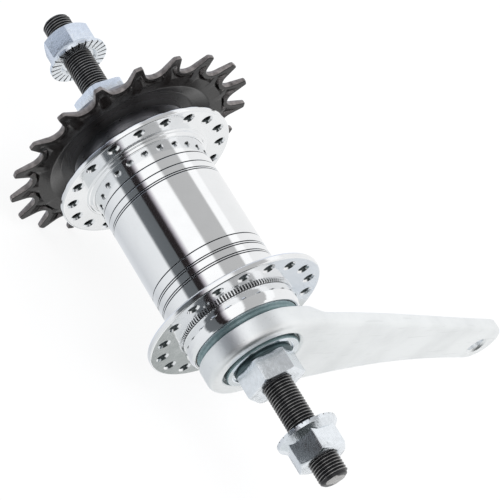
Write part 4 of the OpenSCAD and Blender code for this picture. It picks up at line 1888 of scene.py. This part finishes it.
def stage_world(background):
    """A white world that shows studio cards in reflections about the axle."""
    world = bpy.data.worlds.new("Studio")
    bpy.context.scene.world = world
    world.use_nodes = True
    tree = world.node_tree
    tree.nodes.clear()
    n = Nodes(tree)
    out = n.new("ShaderNodeOutputWorld")
    ray = n.new("ShaderNodeLightPath")
    direction = n.new("ShaderNodeTexCoord").outputs["Generated"]
    way = n.new("ShaderNodeSeparateXYZ", {0: direction})
    along = way.outputs[1]
    angle = n.math("ARCTAN2", way.outputs[2], way.outputs[0])
    side = card_ramp(n, angle, SIDE_CARDS)
    # towards the far end the dark cards give way to pale blue ones
    far = n.mul(smooth(n, along, 0.474, 0.492), 0.62)
    side = blend(n, far, side, shade_of(0.9, (0.86, 0.96, 1.16)))
    end = card_ramp(n, angle, END_CARDS)
    down = n.mul(along, -1.0)
    # a narrow band of directions that only the arm and the brake flange show
    off_band = n.math("ABSOLUTE", n.add(angle, math.radians(35)))
    near_end = n.math("LESS_THAN", off_band, 0.55)
    outside = n.most(smooth(n, down, 0.385, 0.425), smooth(n, along, -0.335, -0.31))
    paler = n.mul(near_end, outside)
    end = blend(n, paler, end, shade_of(1.0))
    cards = blend(n, smooth(n, along, -0.12, 0.08), end, side)
    cards = blend(n, smooth(n, along, 0.72, 0.92), cards, shade_of(0.93))
    dark_end = shade_of(0.22, (0.85, 1.05, 1.05))
    cards = blend(n, smooth(n, down, 0.8, 0.93), cards, dark_end)
    light = n.new(
        "ShaderNodeBackground", {"Color": (0.95, 0.97, 1.0, 1.0), "Strength": 0.9}
    )
    glossy = n.new("ShaderNodeBackground", {"Color": cards, "Strength": 1.0})
    seen = n.new(
        "ShaderNodeBackground", {"Color": (1.0, 1.0, 1.0, 1.0), "Strength": background}
    )
    first = n.new(
        "ShaderNodeMixShader",
        {0: ray.outputs["Is Glossy Ray"], 1: light.outputs[0], 2: glossy.outputs[0]},
    )
    second = n.new(
        "ShaderNodeMixShader",
        {0: ray.outputs["Is Camera Ray"], 1: first.outputs[0], 2: seen.outputs[0]},
    )
    tree.links.new(second.outputs[0], out.inputs["Surface"])


class HUB_OT_stage(HubOperator):
    """Set up the floor, the light and the camera"""

    bl_idname = "hub.stage"
    bl_label = "Stage"

    def build(self, context):
        stage = context.scene.hub_stage
        scene = context.scene
        floor_z = CAD_BOX[0][2] - 0.0002
        size = 4.0
        mesh = bpy.data.meshes.new("floor")
        mesh.from_pydata(
            [
                (-size, -size, floor_z),
                (size, -size, floor_z),
                (size, size, floor_z),
                (-size, size, floor_z),
            ],
            [],
            [[0, 1, 2, 3]],
        )
        floor = link("floor", mesh)
        floor.visible_glossy = False
        material, n, shader, place = new_finish("Pale floor")
        paper = noise(n, place, 40.0, 3.0)
        pale = blend(n, paper, (0.93, 0.93, 0.93), (0.96, 0.96, 0.96))
        n.put(shader.inputs["Base Color"], pale)
        n.put(shader.inputs["Roughness"], between(n, paper, 0.85, 0.95))
        shader.inputs["Specular IOR Level"].default_value = 0.0
        # the camera sees a white floor with a faint shadow
        glow = n.new(
            "ShaderNodeEmission", {"Color": (1.0, 1.0, 1.0, 1.0), "Strength": 1.0}
        )
        ray = n.new("ShaderNodeLightPath")
        seen = n.mul(ray.outputs["Is Camera Ray"], stage.whiteness)
        mix = n.new(
            "ShaderNodeMixShader", {0: seen, 1: shader.outputs[0], 2: glow.outputs[0]}
        )
        surface = material.node_tree.get_output_node("ALL").inputs["Surface"]
        n.put(surface, mix.outputs[0])
        floor.data.materials.append(material)
        stage_world(stage.background)
        for name, spot, power, width in (
            ("key", (-0.7, -0.9, 1.5), 14.0, 1.0),
            ("fill", (1.2, -0.5, 1.0), 6.0, 1.2),
            ("back", (-0.2, 1.3, 0.9), 5.0, 1.0),
        ):
            lamp = bpy.data.lights.new(name, "AREA")
            lamp.energy = power
            lamp.size = width
            obj = bpy.data.objects.new(name, lamp)
            scene.collection.objects.link(obj)
            obj.location = spot
            obj.rotation_euler = (-Vector(spot)).to_track_quat("-Z", "Y").to_euler()
            obj.visible_glossy = False
        camera = bpy.data.cameras.new("camera")
        camera.sensor_width = SENSOR_WIDTH
        camera.sensor_fit = "HORIZONTAL"
        camera.lens = stage.focal
        camera.clip_start = 0.01
        camera.clip_end = 20.0
        eye = bpy.data.objects.new("camera", camera)
        scene.collection.objects.link(eye)
        axes = (CAMERA_RIGHT, CAMERA_UP, CAMERA_BACK)
        turn = Matrix(axes).transposed().to_4x4()
        eye.matrix_world = Matrix.Translation(Vector(CAMERA_SPOT)) @ turn
        scene.camera = eye
        scene.view_settings.view_transform = "Standard"


STEPS = (
    HUB_OT_axle,
    HUB_OT_axle_nuts,
    HUB_OT_locknuts,
    HUB_OT_washers,
    HUB_OT_barrel,
    HUB_OT_flanges,
    HUB_OT_sprocket,
    HUB_OT_driver,
    HUB_OT_arm,
    HUB_OT_bearings,
    HUB_OT_brake,
    HUB_OT_stage,
)


class HUB_PT_panel(bpy.types.Panel):
    """Lists the hub's operators"""

    bl_idname = "HUB_PT_panel"
    bl_label = "Coaster brake hub"
    bl_space_type = "VIEW_3D"
    bl_region_type = "UI"
    bl_category = "Hub"

    def draw(self, context):
        for step in STEPS:
            self.layout.operator(step.bl_idname)


GROUPS = (
    ("hub_axle", HubAxleSizes),
    ("hub_shell", HubShellSizes),
    ("hub_sprocket", HubSprocketSizes),
    ("hub_finishes", HubFinishes),
    ("hub_stage", HubStage),
)


def register():
    for name, group in GROUPS:
        bpy.utils.register_class(group)
        setattr(bpy.types.Scene, name, bpy.props.PointerProperty(type=group))
    for cls in (*STEPS, HUB_PT_panel):
        bpy.utils.register_class(cls)


def unregister():
    for cls in reversed((*STEPS, HUB_PT_panel)):
        bpy.utils.unregister_class(cls)
    for name, group in reversed(GROUPS):
        delattr(bpy.types.Scene, name)
        bpy.utils.unregister_class(group)


def main():
    register()
    for step in STEPS:
        group, name = step.bl_idname.split(".")
        result = getattr(getattr(bpy.ops, group), name)()
        if result != {"FINISHED"}:
            raise RuntimeError(step.bl_idname + " did not finish")


if __name__ == "__main__":
    main()
